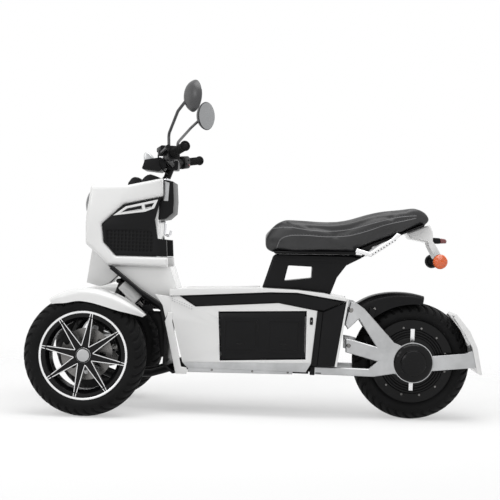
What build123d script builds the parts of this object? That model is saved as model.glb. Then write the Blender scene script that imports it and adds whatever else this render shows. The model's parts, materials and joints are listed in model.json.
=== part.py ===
from build123d import *
import math
import os

# Electric three-wheel scooter: two steered front wheels and one driven rear wheel.
# Millimetres. X runs from the nose (-) to the tail (+), the rider's left is -Y, Z is up.
# The origin lies on the ground, midway between the foremost and rearmost points.

# Wheels and stance
TYRE_R = 236.4
TYRE_W = 120.0
WALL_H = 84.0
BEAD_R = TYRE_R - WALL_H
WHEELBASE = 1275.0
TRACK = 590.0
TAIL_REACH = 275.0
LENGTH = TYRE_R + WHEELBASE + TAIL_REACH
FRONT_X = TYRE_R - LENGTH / 2
REAR_X = FRONT_X + WHEELBASE

# The side view is drawn over one tyre radius, wheelbase and head height. When those
# sizes change, the bodywork rises with the axles, the floor takes up the wheelbase,
# the nose takes up the head height, and what hangs on an axle keeps its proportion.
DRAWN = (236.4, 1275.0, 715.0)
FLOOR_FROM = 346.0
FLOOR_TO = 842.0
NOSE_END = 310.0
NOSE_FROM = 600.0
NOSE_TO = 880.0

# Fits
RUN_FIT = 0.06
SEAT_GAP = 0.3
END_PLAY = 1.0

# Tyres
CROWN_DROP = 22.0
SHOULDER = 50.0
BULGE_R = BEAD_R + 0.47 * WALL_H

# Cast front wheels
RIM_HALF = 50.0
FLANGE_T = 5.0
FLANGE_H = 13.5
WELL_DEPTH = 14.0
WELL_HALF = 22.0
WELL_SLOPE = 8.0
BARREL_T = 6.0
SPOKES = 8
SPOKE_TURN = 80.0
SPOKE_FACE = 46.0
SPOKE_T = 13.0
SPOKE_ROOT = 18.5
SPOKE_TAPER = 85.4
HUB_R = 38.0
HUB_TUBE_R = 28.0
CAP_R = 29.0
CAP_T = 5.0
LIP_R = BEAD_R + FLANGE_H
BEAD_HALF = RIM_HALF - FLANGE_T
RIM_SEAT_R = BEAD_R - SEAT_GAP
WELL_R = BEAD_R - WELL_DEPTH

# Brakes
DISC_GAP = 32.4
DISC_R = WELL_R - BARREL_T - DISC_GAP
DISC_HOLE_R = 0.3 * DISC_R
DISC_T = 4.0
DISC_IN = 26.0
CALIPER_SIDE = 16.0
PAD_GAP = 2.0

# Steering
RAKE = 20.0
KINGPIN_IN = 63.0
KINGPIN_Y = TRACK / 2 - KINGPIN_IN
STEER_ARM = 60.0
TIE_SPLIT = 13.0
ARM_LEVEL = 75.0
ARM_T = 18.0
ARM_EYE_R = 17.0
PIVOT_Y = 46.0
PIVOT_R = 12.0
PIVOT_PIN_R = 6.0
PIVOT_HALF = 46.0
TIE_LEVEL = 30.0
TIE_T = 12.0
TIE_EYE_R = 10.0
STEER_PLATE_T = 10.0
PIN_R = 8.0
PIN_HEAD = 6.0
TIE_PIN_R = 5.0
TIE_PIN_TOP = 3.0
AXLE_R = 10.0
POST_R = 15.0
STEM_R = 15.0
HEAD_R = 23.0
HEAD_LOW = 165.0
HEAD_TOP = 715.0
HEAD_SEAT = 22.0
COLLAR_T = 14.0
STEM_TOP = HEAD_TOP + 97.0
LUG_T = 10.0
LUG_H = 30.0
CHEEK_T = 8.0
CHEEK_IN = 24.0
BRACE_H = 40.0

# Dampers
DAMPER_Y = 72.0
DAMPER_R = 24.0
DAMPER_BAR_R = 9.0
SHOCK_Y = 70.0
SHOCK_R = 20.0
SHOCK_ROD_R = 10.0

# Bodywork, as distances from the centre plane
RAIL_IN = 114.0
RAIL_OUT = 142.0
RAIL_EDGE = 9.0
CORE_Y = RAIL_IN - SEAT_GAP
CORE_WALL = 8.0
POD_Y = 132.0
GRILLE_PITCH = 14.6
GRILLE_HOLE = 10.0
GRILLE_DROP = 4.0
GRILLE_DEPTH = 10.0
SHIELD_Y = 108.0
SHIELD_WALL = 8.0
NOSE_Y = 88.0
NOSE_WALL = 5.0
DECK_Y = 168.0
PANEL_Y = 160.0
PANEL_T = 7.0
PAD_T = 3.0
TRIM_Y = PANEL_Y + 4.0
TRIM_T = 34.0
SILL_T = 24.0
DOOR_GAP = 5.4
HINGE_BACK = 3.0
HINGE_R = 2.6
HINGE_PIN_R = 1.3
BATTERY_Y = 132.0
DASH_Y = 96.0
SADDLE_Y = 70.0
SUPPORT_Y = 92.0
SEAT_Y = 138.0
SEAT_BASE_Y = 118.0
GRAB_Y = 154.0
GRAB_T = 14.0
TAIL_Y = 70.0
STALK_Y = 56.0
STALK_T = 16.0
SIGNAL_Y = 120.0
SIGNAL_R = 29.0
SIGNAL_T = 30.0
LAMP_R = 66.0
LAMP_DOME = 30.0
LAMP_RING = 7.0

# Fenders
SHELL_T = 5.0
FENDER_HALF = 72.0
HUGGER_HALF = 71.0
GUARD_Y = 110.0

# Frame tubes
TUBE_R = 15.0
CROSS_R = 12.0
BACKBONE_Y = 50.0
RAIL_TUBE_Y = 112.0
BEND_R = 45.0

# Swing arm and rear wheel
SWING_IN = 93.0
SWING_OUT = 115.0
SWING_BAR_R = 12.0
SWING_EYE_R = 80.0
SWING_BOSS_R = 22.0
MOTOR_Y = 70.0
MOTOR_AXLE_R = 12.0
REAR_DISC_Y = 78.0
REAR_DISC_R = 90.0
REAR_DISC_HOLE_R = 30.0
COVER_R = 77.0

# Handlebar
BAR_R = 11.1
GRIP_R = 17.0
GRIP_L = 118.0
BAR_HALF = 345.0
CLAMP_Y = 38.0
CLAMP_FREE = 14.0
MIRROR_Y = 315.0
MIRROR_W = 58.0
MIRROR_H = 62.0
MIRROR_T = 30.0
MIRROR_STEM_R = 6.0
HOSE_R = 3.0
HOSE_BEND = 24.0


def at(*points):
    """Side-view points of the bodywork, drawn from the front axle line on the ground."""
    placed = []
    for x, z in points:
        floor_share = min(max((x - FLOOR_FROM) / (FLOOR_TO - FLOOR_FROM), 0), 1)
        nose_share = min(max((z - NOSE_FROM) / (NOSE_TO - NOSE_FROM), 0), 1) if x < NOSE_END else 0
        rise = (HEAD_TOP - DRAWN[2]) * math.cos(math.radians(RAKE)) * nose_share
        placed.append((FRONT_X + x + (WHEELBASE - DRAWN[1]) * floor_share, z + TYRE_R - DRAWN[0] + rise))
    return placed


def spot(x, z, y=0.0):
    """A point in space from its place in the side view."""
    place_x, place_z = at((x, z))[0]
    return Vector(place_x, y, place_z)


def by_front(*points):
    """Side-view points that keep their proportion to the tyre round the front axle."""
    return [(FRONT_X + x * TYRE_R / DRAWN[0], z * TYRE_R / DRAWN[0]) for x, z in points]


def by_rear(*points):
    """Side-view points that keep their proportion to the tyre round the rear axle."""
    return [(REAR_X + (x - DRAWN[1]) * TYRE_R / DRAWN[0], z * TYRE_R / DRAWN[0]) for x, z in points]


def lowered(points, drop):
    """The same side-view points, moved down."""
    return [(x, z - drop) for x, z in points]


def slab(points, inner, outer, corner=0.0, bevel=0.0):
    """A piece cut to a side-view outline, from inner to outer left of the centre plane."""
    with BuildPart() as piece:
        with BuildSketch(Plane.XZ.offset(inner)) as cut:
            with BuildLine():
                Polyline(*points, close=True)
            make_face()
            if corner:
                fillet(cut.vertices(), corner)
        extrude(amount=outer - inner)
        if bevel:
            ends = piece.faces().filter_by(Axis.Y).sort_by(Axis.Y)
            chamfer(ends[0].edges(), bevel)
            if inner < 0:
                chamfer(piece.faces().filter_by(Axis.Y).sort_by(Axis.Y)[-1].edges(), bevel)
    return piece.part


def rod(start, end, radius):
    """A straight round bar between two points."""
    a = Vector(*start)
    b = Vector(*end)
    with BuildPart() as bar:
        with BuildSketch(Plane(origin=a, z_dir=b - a)):
            Circle(radius)
        extrude(amount=(b - a).length)
    return bar.part


def tube(points, radius, bend=BEND_R):
    """A bent round bar through the points."""
    with BuildPart() as pipe:
        with BuildLine() as path:
            FilletPolyline(*[tuple(point) for point in points], radius=bend)
        with BuildSketch(Plane(origin=path.line @ 0, z_dir=path.line % 0)):
            Circle(radius)
        sweep()
    return pipe.part


def save(piece, name):
    piece.label = name
    export_step(piece, f"parts/{name}.step")


def save_pair(piece, name):
    """Writes a left piece and its mirror image on the right."""
    save(piece, f"{name}_left")
    save(mirror(piece, about=Plane.XZ), f"{name}_right")


os.makedirs("parts", exist_ok=True)

# The steering axis leans back by the rake and passes over the front axle.
rake = math.radians(RAKE)
up_axis = Vector(math.sin(rake), 0, math.cos(rake))
back_axis = Vector(math.cos(rake), 0, -math.sin(rake))
axle_centre = Vector(FRONT_X, 0, TYRE_R)


def steer_point(level, back=0.0, y=0.0):
    """A point at a level up the steering axis, behind it and to the rider's right."""
    return axle_centre + up_axis * level + back_axis * back + Vector(0, y, 0)


def steer_plane(level, y=0.0):
    """Square to the steering axis: local x points back, local y to the rider's right."""
    return Plane(origin=steer_point(level, 0, y), x_dir=back_axis, z_dir=up_axis)


# Wheels

def wheel_plane(x, y):
    """Through a wheel's axis: local x is the radius, local y points to the rider's right."""
    return Plane(origin=(x, y, TYRE_R), x_dir=(1, 0, 0), z_dir=(0, 0, 1))


def wheel_face(x, y, out):
    """Parallel to a wheel, out to the rider's left of its middle."""
    return Plane(origin=(x, y - out, TYRE_R), x_dir=(1, 0, 0), z_dir=(0, -1, 0))


def tyre(x, y):
    """A low scooter tyre: round crown, bulging walls and beads that seat in the rim."""
    bead = BEAD_HALF - SEAT_GAP
    with BuildPart() as ring:
        with BuildSketch(wheel_plane(x, y)):
            with BuildLine():
                crown = ThreePointArc(
                    (TYRE_R - CROWN_DROP, -SHOULDER), (TYRE_R, 0), (TYRE_R - CROWN_DROP, SHOULDER)
                )
                ThreePointArc(crown @ 1, (BULGE_R, TYRE_W / 2), (LIP_R + 1, bead))
                ThreePointArc(crown @ 0, (BULGE_R, -TYRE_W / 2), (LIP_R + 1, -bead))
                Polyline((LIP_R + 1, bead), (BEAD_R, bead), (BEAD_R, -bead), (LIP_R + 1, -bead))
            make_face()
        revolve(axis=Axis((x, y, TYRE_R), (0, 1, 0)))
    return ring.part


def barrel_points():
    """Section of the rim: radius and width."""
    inner = [
        (RIM_SEAT_R - BARREL_T, RIM_HALF),
        (WELL_R - BARREL_T, WELL_HALF + WELL_SLOPE),
        (WELL_R - BARREL_T, -WELL_HALF - WELL_SLOPE),
        (RIM_SEAT_R - BARREL_T, -RIM_HALF),
    ]
    outer = [
        (LIP_R, -RIM_HALF),
        (LIP_R, -BEAD_HALF),
        (RIM_SEAT_R, -BEAD_HALF),
        (RIM_SEAT_R, -WELL_HALF - WELL_SLOPE),
        (WELL_R, -WELL_HALF),
        (WELL_R, WELL_HALF),
        (RIM_SEAT_R, WELL_HALF + WELL_SLOPE),
        (RIM_SEAT_R, BEAD_HALF),
        (LIP_R, BEAD_HALF),
        (LIP_R, RIM_HALF),
    ]
    return inner + outer


front_y = -TRACK / 2
front_axis = Axis((FRONT_X, front_y, TYRE_R), (0, 1, 0))
disc_back = DISC_IN + DISC_T
save_pair(tyre(FRONT_X, front_y), "front_tyre")

with BuildPart() as front_wheel:
    with BuildSketch(wheel_plane(FRONT_X, front_y)):
        with BuildLine():
            Polyline(*barrel_points(), close=True)
        make_face()
    revolve(axis=front_axis)
    with BuildSketch(wheel_face(FRONT_X, front_y, SPOKE_FACE)):
        Circle(HUB_R)
        with PolarLocations(0, SPOKES, start_angle=SPOKE_TURN):
            Trapezoid(2 * SPOKE_ROOT, RIM_SEAT_R - 3, SPOKE_TAPER, rotation=-90, align=(Align.CENTER, Align.MIN))
    extrude(amount=-SPOKE_T)
    with BuildSketch(wheel_face(FRONT_X, front_y, SPOKE_FACE)):
        Circle(CAP_R)
    extrude(amount=CAP_T, taper=20)
    with BuildSketch(wheel_face(FRONT_X, front_y, SPOKE_FACE - SPOKE_T)):
        Circle(HUB_TUBE_R)
    extrude(amount=SPOKE_T - SPOKE_FACE - disc_back)
    with BuildSketch(wheel_face(FRONT_X, front_y, -DISC_IN + SEAT_GAP)):
        Circle(DISC_HOLE_R + 12)
    extrude(amount=8)
    with BuildSketch(wheel_face(FRONT_X, front_y, -disc_back)):
        Circle(AXLE_R + RUN_FIT)
    extrude(amount=SPOKE_FACE + disc_back - 10, mode=Mode.SUBTRACT)
save_pair(front_wheel.part, "front_wheel")

with BuildPart() as front_disc:
    with BuildSketch(wheel_face(FRONT_X, front_y, -DISC_IN)):
        Circle(DISC_R)
        Circle(DISC_HOLE_R, mode=Mode.SUBTRACT)
        with PolarLocations(0.64 * DISC_R, SPOKES):
            SlotOverall(0.3 * DISC_R, 0.16 * DISC_R, mode=Mode.SUBTRACT)
    extrude(amount=-DISC_T)
save_pair(front_disc.part, "front_disc")

# Front suspension and steering links

pin_end = ARM_LEVEL + ARM_T / 2 + SEAT_GAP
plate_level = TIE_LEVEL - TIE_T / 2 - SEAT_GAP - STEER_PLATE_T
tie_pin = STEER_PLATE_T + SEAT_GAP + TIE_T + TIE_PIN_TOP
knuckle_centre = Vector(FRONT_X, -KINGPIN_Y, TYRE_R)
knuckle_plane = Plane(origin=knuckle_centre, x_dir=(1, 0, 0), z_dir=(0, -1, 0))

with BuildPart() as knuckle:
    post_half = ARM_LEVEL - ARM_T / 2 - SEAT_GAP
    with BuildSketch(steer_plane(-post_half, -KINGPIN_Y)):
        Circle(POST_R)
    extrude(amount=2 * post_half)
    with BuildSketch(steer_plane(-pin_end - PIN_HEAD, -KINGPIN_Y)):
        Circle(PIN_R)
    extrude(amount=2 * (pin_end + PIN_HEAD))
    with BuildSketch(steer_plane(-pin_end - PIN_HEAD, -KINGPIN_Y)):
        Circle(POST_R - 2)
    extrude(amount=PIN_HEAD)
    with BuildSketch(steer_plane(pin_end, -KINGPIN_Y)):
        Circle(POST_R - 1)
        Rectangle(26, 24, align=(Align.MIN, Align.CENTER))
    extrude(amount=PIN_HEAD + 1)
    with BuildSketch(steer_plane(plate_level, -KINGPIN_Y)):
        with BuildLine():
            Polyline(
                (0, POST_R - 3),
                (STEER_ARM, TIE_EYE_R - TIE_SPLIT),
                (STEER_ARM, -TIE_EYE_R - TIE_SPLIT),
                (0, -POST_R + 1),
                close=True,
            )
        make_face()
        with Locations((STEER_ARM, -TIE_SPLIT)):
            Circle(TIE_EYE_R)
    extrude(amount=STEER_PLATE_T)
    with BuildSketch(steer_plane(plate_level, -KINGPIN_Y)):
        with Locations((STEER_ARM, -TIE_SPLIT)):
            Circle(TIE_PIN_R)
    extrude(amount=tie_pin)
    with BuildSketch(knuckle_plane):
        Circle(HUB_TUBE_R - 6)
    extrude(amount=TRACK / 2 - disc_back - END_PLAY - KINGPIN_Y)
    with BuildSketch(knuckle_plane):
        Circle(AXLE_R)
    extrude(amount=TRACK / 2 + SPOKE_FACE - 14 - KINGPIN_Y)
    stay_y = TRACK / 2 - FENDER_HALF - SEAT_GAP
    add(slab(by_front((34, 316), (56, 314), (62, 470), (38, 470)), stay_y - 6, stay_y))
    bracket_end = Vector(-0.62 * DISC_R, -7.7, 0.48 * DISC_R)
    add(rod(knuckle_centre + Vector(0, 0, 0.3 * DISC_R), knuckle_centre + bracket_end, 9))
save_pair(knuckle.part, "knuckle")

with BuildPart() as caliper:
    near = TRACK / 2 - disc_back - KINGPIN_Y
    with BuildSketch(knuckle_plane.offset(near - CALIPER_SIDE)):
        with Locations((-0.7 * DISC_R, 0.58 * DISC_R)):
            Rectangle(0.46 * DISC_R, 0.34 * DISC_R, rotation=40)
    extrude(amount=DISC_T + 2 * CALIPER_SIDE)
    fillet(caliper.edges().filter_by(Axis.Y), 6)
    with BuildSketch(knuckle_plane.offset(near - PAD_GAP)):
        Circle(DISC_R + 2)
    extrude(amount=DISC_T + 2 * PAD_GAP, mode=Mode.SUBTRACT)
save_pair(caliper.part, "front_caliper")

with BuildPart() as tie_rod:
    ends = [(STEER_ARM, -TIE_SPLIT), (STEER_ARM, -TIE_SPLIT - KINGPIN_Y)]
    with BuildSketch(steer_plane(TIE_LEVEL - TIE_T / 2)):
        with Locations(*ends):
            Circle(TIE_EYE_R)
    extrude(amount=TIE_T)
    rod_start = steer_point(TIE_LEVEL, STEER_ARM, -TIE_SPLIT - TIE_EYE_R / 2)
    rod_end = steer_point(TIE_LEVEL, STEER_ARM, -TIE_SPLIT - KINGPIN_Y + TIE_EYE_R / 2)
    add(rod(rod_start, rod_end, TIE_T / 2 - 0.5))
    with BuildSketch(steer_plane(TIE_LEVEL - TIE_T / 2)):
        with Locations(*ends):
            Circle(TIE_PIN_R + RUN_FIT)
    extrude(amount=TIE_T, mode=Mode.SUBTRACT)
save_pair(tie_rod.part, "tie_rod")


def wishbone(level):
    """A forked arm from two pivots at the tower to the kingpin, on the left."""
    pivots = (steer_point(level, -PIVOT_HALF, -PIVOT_Y), steer_point(level, PIVOT_HALF, -PIVOT_Y))
    with BuildPart() as arm:
        with BuildSketch(steer_plane(level - ARM_T / 2)):
            with BuildLine():
                Polyline(
                    (-PIVOT_HALF, -PIVOT_Y),
                    (-ARM_EYE_R, -KINGPIN_Y),
                    (ARM_EYE_R, -KINGPIN_Y),
                    (PIVOT_HALF, -PIVOT_Y),
                    close=True,
                )
            make_face()
            with BuildLine():
                Polyline(
                    (-PIVOT_HALF + ARM_T, -PIVOT_Y),
                    (-4, -KINGPIN_Y + 3 * ARM_EYE_R),
                    (4, -KINGPIN_Y + 3 * ARM_EYE_R),
                    (PIVOT_HALF - ARM_T, -PIVOT_Y),
                    close=True,
                )
            make_face(mode=Mode.SUBTRACT)
            with Locations((0, -KINGPIN_Y)):
                Circle(ARM_EYE_R)
        extrude(amount=ARM_T)
        add(rod(*pivots, PIVOT_R))
        add(rod(*pivots, PIVOT_PIN_R + SEAT_GAP), mode=Mode.SUBTRACT)
        with BuildSketch(steer_plane(level - ARM_T / 2)):
            with Locations((0, -KINGPIN_Y)):
                Circle(PIN_R + RUN_FIT)
        extrude(amount=ARM_T, mode=Mode.SUBTRACT)
    return arm.part


with BuildPart() as wishbones:
    add(wishbone(ARM_LEVEL))
    add(wishbone(-ARM_LEVEL))
    mirror(about=Plane.XZ)
save(wishbones.part, "wishbones")

damper_bar = spot(86, 517)
lug_back = PIVOT_HALF + END_PLAY + LUG_T / 2

with BuildPart() as tower:
    for level in (ARM_LEVEL, -ARM_LEVEL):
        with BuildSketch(steer_plane(level - LUG_H / 2)):
            with Locations((lug_back, 0), (-lug_back, 0)):
                Rectangle(LUG_T, 2 * (PIVOT_Y + PIVOT_R))
            with Locations((0, CHEEK_IN + CHEEK_T / 2), (0, -CHEEK_IN - CHEEK_T / 2)):
                Rectangle(2 * lug_back, CHEEK_T)
        extrude(amount=LUG_H)
        for side in (PIVOT_Y, -PIVOT_Y):
            pin_start = steer_point(level, -lug_back - LUG_T, side)
            add(rod(pin_start, steer_point(level, lug_back + LUG_T, side), PIVOT_PIN_R))
    with BuildSketch(steer_plane(-ARM_LEVEL - LUG_H / 2)):
        with Locations((-lug_back, 0)):
            Rectangle(LUG_T, 2 * (CHEEK_IN + CHEEK_T))
    extrude(amount=HEAD_LOW + BRACE_H + ARM_LEVEL + LUG_H / 2)
    with BuildSketch(steer_plane(HEAD_LOW)):
        with Locations((-lug_back / 2, 0)):
            Rectangle(lug_back, 2 * CHEEK_IN)
    extrude(amount=BRACE_H)
    with BuildSketch(steer_plane(HEAD_LOW)):
        Circle(HEAD_R)
    extrude(amount=HEAD_TOP - HEAD_LOW)
    bar_side = Vector(0, DAMPER_Y + 18, 0)
    add(rod(damper_bar - bar_side, damper_bar + bar_side, DAMPER_BAR_R))
    with BuildSketch(steer_plane(HEAD_LOW)):
        Circle(STEM_R + 4)
    extrude(amount=HEAD_TOP - HEAD_LOW, mode=Mode.SUBTRACT)
    for level in (HEAD_LOW, HEAD_TOP - HEAD_SEAT):
        with BuildSketch(steer_plane(level)):
            Circle(HEAD_R)
            Circle(STEM_R + RUN_FIT, mode=Mode.SUBTRACT)
        extrude(amount=HEAD_SEAT)
save(tower.part, "steering_tower")

# Front dampers, from the tower's cross bar to the frame's, and the rear pair

damper_foot = spot(196, 414)
damper_dir = (damper_foot - damper_bar).normalized()
damper_side = Vector(0, -DAMPER_Y, 0)
shock_bar = Vector(by_rear((1022, 436))[0][0], 0, by_rear((1022, 436))[0][1])
shock_seat = spot(888, 415)
shock_dir = (shock_seat - shock_bar).normalized()
shock_side = Vector(0, -SHOCK_Y, 0)

with BuildPart() as dampers:
    top = damper_bar + damper_side + damper_dir * (DAMPER_BAR_R + SEAT_GAP)
    foot = damper_foot + damper_side - damper_dir * (DAMPER_BAR_R + SEAT_GAP)
    add(rod(top, foot, DAMPER_BAR_R))
    add(rod(top + damper_dir * 3, foot - damper_dir * 22, DAMPER_R))
    shock_start = shock_bar + shock_side + shock_dir * (SWING_BAR_R + SEAT_GAP)
    shock_end = shock_seat + shock_side - shock_dir * (CROSS_R + SEAT_GAP)
    add(rod(shock_start, shock_end, SHOCK_ROD_R))
    add(rod(shock_start + shock_dir * 8, shock_end - shock_dir * 8, SHOCK_R))
    mirror(about=Plane.XZ)
save(dampers.part, "dampers")

# Steered parts

with BuildPart() as stem:
    with BuildSketch(steer_plane(plate_level)):
        Circle(STEM_R)
    extrude(amount=STEM_TOP - plate_level)
    with BuildSketch(steer_plane(plate_level)):
        Circle(STEM_R + 3)
        with BuildLine():
            Polyline(
                (0, STEM_R + 3),
                (STEER_ARM, TIE_SPLIT + TIE_EYE_R),
                (STEER_ARM, -TIE_SPLIT - TIE_EYE_R),
                (0, -STEM_R - 3),
                close=True,
            )
        make_face()
        with Locations((STEER_ARM, TIE_SPLIT), (STEER_ARM, -TIE_SPLIT)):
            Circle(TIE_EYE_R)
    extrude(amount=STEER_PLATE_T)
    with BuildSketch(steer_plane(plate_level)):
        with Locations((STEER_ARM, TIE_SPLIT), (STEER_ARM, -TIE_SPLIT)):
            Circle(TIE_PIN_R)
    extrude(amount=tie_pin)
    with BuildSketch(steer_plane(HEAD_TOP + END_PLAY)):
        Circle(HEAD_R)
    extrude(amount=COLLAR_T)
save(stem.part, "steering_stem")

bar_centre = steer_point(STEM_TOP - 4, 6)
bar_end = bar_centre + Vector(79.2, -BAR_HALF, 52.5)
bar_bend = bar_centre + Vector(-19.8, -142, 19.5)
bar_free = Vector(0, CLAMP_Y + CLAMP_FREE, 0)
grip_dir = (bar_end - bar_bend).normalized()


def across(point):
    """The same point on the other side of the centre plane."""
    return Vector(point.X, -point.Y, point.Z)


with BuildPart() as handlebar:
    bar_route = [across(bar_end), across(bar_bend), bar_centre + bar_free, bar_centre - bar_free, bar_bend, bar_end]
    add(tube(bar_route, BAR_R, 35))
    with BuildSketch(Plane.XZ.offset(-CLAMP_Y).shift_origin((bar_centre.X, CLAMP_Y, bar_centre.Z))):
        RectangleRounded(46, 40, 8)
    extrude(amount=2 * CLAMP_Y)
    with BuildSketch(steer_plane(STEM_TOP - 60)):
        Circle(STEM_R + RUN_FIT)
    extrude(amount=60, mode=Mode.SUBTRACT)
save(handlebar.part, "handlebar")

with BuildPart() as grips:
    add(rod(bar_end - grip_dir * GRIP_L, bar_end + grip_dir * 4, GRIP_R))
    for ring in (0, GRIP_L - 6):
        add(rod(bar_end - grip_dir * (ring + 6), bar_end - grip_dir * ring, GRIP_R + 3))
    add(rod(bar_end - grip_dir * (GRIP_L + 8), bar_end, BAR_R + RUN_FIT), mode=Mode.SUBTRACT)
    mirror(about=Plane.XZ)
save(grips.part, "grips")

# Switches, brake cylinders and levers: local x points up and local y forward

switch_start = bar_end - grip_dir * (GRIP_L + 46)
perch = switch_start - grip_dir * 34
perch_plane = Plane(origin=perch, x_dir=(0, 0, 1), z_dir=grip_dir)
lever_pivot = perch + perch_plane.y_dir * 34 + perch_plane.x_dir * 8 + grip_dir * 20
lever_tip = bar_end + perch_plane.y_dir * 56 - grip_dir * 44

with BuildPart() as controls:
    with BuildSketch(perch_plane.offset(34)):
        RectangleRounded(54, 48, 14)
    extrude(amount=40)
    with BuildSketch(perch_plane):
        Circle(18)
        with Locations((10, 24)):
            RectangleRounded(22, 34, 5)
    extrude(amount=34)
    with BuildSketch(perch_plane.offset(-6)):
        with Locations((24, 26)):
            RectangleRounded(20, 34, 6)
    extrude(amount=46)
    add(rod(lever_pivot - perch_plane.x_dir * 11, lever_pivot + perch_plane.x_dir * 8, 10))
    add(rod(lever_pivot, lever_tip, 6))
    with BuildSketch(Plane(origin=lever_tip - grip_dir * 8, z_dir=grip_dir)):
        Circle(8.5)
    extrude(amount=16)
    add(rod(perch - grip_dir * 15, bar_end, BAR_R + RUN_FIT), mode=Mode.SUBTRACT)
    mirror(about=Plane.XZ)
save(controls.part, "hand_controls")

# Brake hoses loop from the cylinders, in front of the bar, and into the stem

with BuildPart() as hoses:
    hose_start = perch - grip_dir * (6 + SEAT_GAP) + perch_plane.y_dir * 26 + perch_plane.x_dir * 24
    hose_end = steer_point(HEAD_TOP + 50, 0, -STEM_R - SEAT_GAP)
    hose_route = [
        hose_start,
        hose_start - grip_dir * 40,
        bar_centre + Vector(-44, -98, -10),
        hose_end - Vector(0, 36, 0),
        hose_end,
    ]
    add(tube(hose_route, HOSE_R, HOSE_BEND))
    mirror(about=Plane.XZ)
save(hoses.part, "brake_hoses")

with BuildPart() as display:
    case = [(-121.8, -21.5), (-109.8, 16.5), (-45.8, 28.5), (-23.2, 10.5), (-23.2, -9.5), (-51.8, -27.5)]
    add(slab([(bar_centre.X + x, bar_centre.Z + z) for x, z in case], -SADDLE_Y + 2, SADDLE_Y - 2, 5))
    add(rod(steer_point(HEAD_TOP), steer_point(STEM_TOP + 30), STEM_R + SEAT_GAP), mode=Mode.SUBTRACT)
save(display.part, "display")

# Mirrors, each turned toward the rider

mirror_face = Plane(
    origin=bar_centre + Vector(103.2, -MIRROR_Y, 246.5), x_dir=(0.57, -0.82, 0), z_dir=(0.82, 0.57, 0)
)
mirror_foot = perch + grip_dir * 17 + perch_plane.x_dir * (18 + SEAT_GAP)
with BuildPart() as mirrors:
    mirror_route = [
        mirror_foot,
        mirror_foot + perch_plane.x_dir * 68,
        bar_centre + Vector(40, 28 - MIRROR_Y, 190),
        mirror_face.origin - mirror_face.z_dir * (MIRROR_T - 4) + Vector(0, 8, -8),
    ]
    add(tube(mirror_route, MIRROR_STEM_R, 22))
    with BuildSketch(mirror_face):
        Ellipse(MIRROR_W, MIRROR_H)
    with BuildSketch(mirror_face.offset(-MIRROR_T / 2)):
        Ellipse(0.86 * MIRROR_W, 0.86 * MIRROR_H)
    with BuildSketch(mirror_face.offset(-MIRROR_T)):
        Ellipse(0.4 * MIRROR_W, 0.4 * MIRROR_H)
    loft()
    mirror(about=Plane.XZ)
save(mirrors.part, "mirrors")

with BuildPart() as mirror_glasses:
    with BuildSketch(mirror_face.offset(SEAT_GAP)):
        Ellipse(MIRROR_W - 4, MIRROR_H - 4)
    extrude(amount=PAD_T)
    mirror(about=Plane.XZ)
save(mirror_glasses.part, "mirror_glasses")

# Fenders that turn with the front wheels, and the hugger of the rear wheel


def gutter(r, half, drop):
    """Section of a fender: radius along local x, width along local y."""
    lean = 0.3 * half
    fall = 0.28 * drop
    right = [(r, half - lean), (r - fall, half), (r - drop, half)]
    inside = [
        (r - drop, half - SHELL_T),
        (r - fall - SHELL_T / 2, half - SHELL_T),
        (r - SHELL_T, half - lean - SHELL_T / 2),
    ]
    half_loop = right + inside
    return half_loop + [(x, -y) for x, y in half_loop[::-1]]


def fender(x, y, stations):
    """A gutter lofted round a wheel: angle behind straight up, radius, half width and drop."""
    with BuildPart() as shell:
        for angle, r, half, drop in stations:
            a = math.radians(angle)
            plane = Plane(
                origin=(x, y, TYRE_R), x_dir=(math.sin(a), 0, math.cos(a)), z_dir=(math.cos(a), 0, -math.sin(a))
            )
            with BuildSketch(plane):
                with BuildLine():
                    Polyline(*gutter(r, half, drop), close=True)
                make_face()
        loft(ruled=True)
    return shell.part


FRONT_STATIONS = (
    (-33, TYRE_R + 16, 60, 24),
    (-20, TYRE_R + 18, FENDER_HALF, 44),
    (-6, TYRE_R + 20, FENDER_HALF, 48),
    (8, TYRE_R + 22, FENDER_HALF, 54),
    (22, TYRE_R + 23, FENDER_HALF, 54),
    (36, TYRE_R + 27, 66, 46),
    (47, TYRE_R + 35, 50, 30),
    (55, TYRE_R + 43, 22, 14),
)
REAR_STATIONS = (
    (-47, TYRE_R + 84, HUGGER_HALF, 88),
    (-34, TYRE_R + 71, HUGGER_HALF, 78),
    (-22, TYRE_R + 56, HUGGER_HALF, 64),
    (-10, TYRE_R + 43, HUGGER_HALF, 51),
    (2, TYRE_R + 34, HUGGER_HALF, 40),
    (9, TYRE_R + 30, HUGGER_HALF, 34),
)
save_pair(fender(FRONT_X, front_y, FRONT_STATIONS), "front_fender")

with BuildPart() as hugger:
    add(fender(REAR_X, 0, REAR_STATIONS))
    hugger_lug = slab(by_rear((1092, 400), (1110, 385), (1122, 440), (1098, 448)), HUGGER_HALF - 4, SWING_IN - SEAT_GAP)
    add(hugger_lug)
    add(mirror(hugger_lug, about=Plane.XZ))
save(hugger.part, "rear_fender")

# Nose: a hollow cowl between two bent rails, with black pods in the rails

head_core = rod(steer_point(HEAD_LOW - 60), steer_point(STEM_TOP), HEAD_R + 6)
cowl_outline = at((-33, 897), (-50, 768), (-46, 744), (-40, 665), (44, 582), (240, 582), (240, 900))
cowl_hollow = at((-25, 889), (-42, 768), (-38, 744), (-32, 669), (48, 590), (232, 590), (232, 892))
cowl_mouth = at((60, 570), (228, 570), (228, 600), (60, 600))
with BuildPart() as front_cowl:
    add(slab(cowl_outline, -CORE_Y, CORE_Y))
    add(slab(cowl_hollow, -CORE_Y + CORE_WALL, CORE_Y - CORE_WALL), mode=Mode.SUBTRACT)
    add(slab(cowl_mouth, -CORE_Y + CORE_WALL, CORE_Y - CORE_WALL), mode=Mode.SUBTRACT)
    add(head_core, mode=Mode.SUBTRACT)
save(front_cowl.part, "front_cowl")

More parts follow.
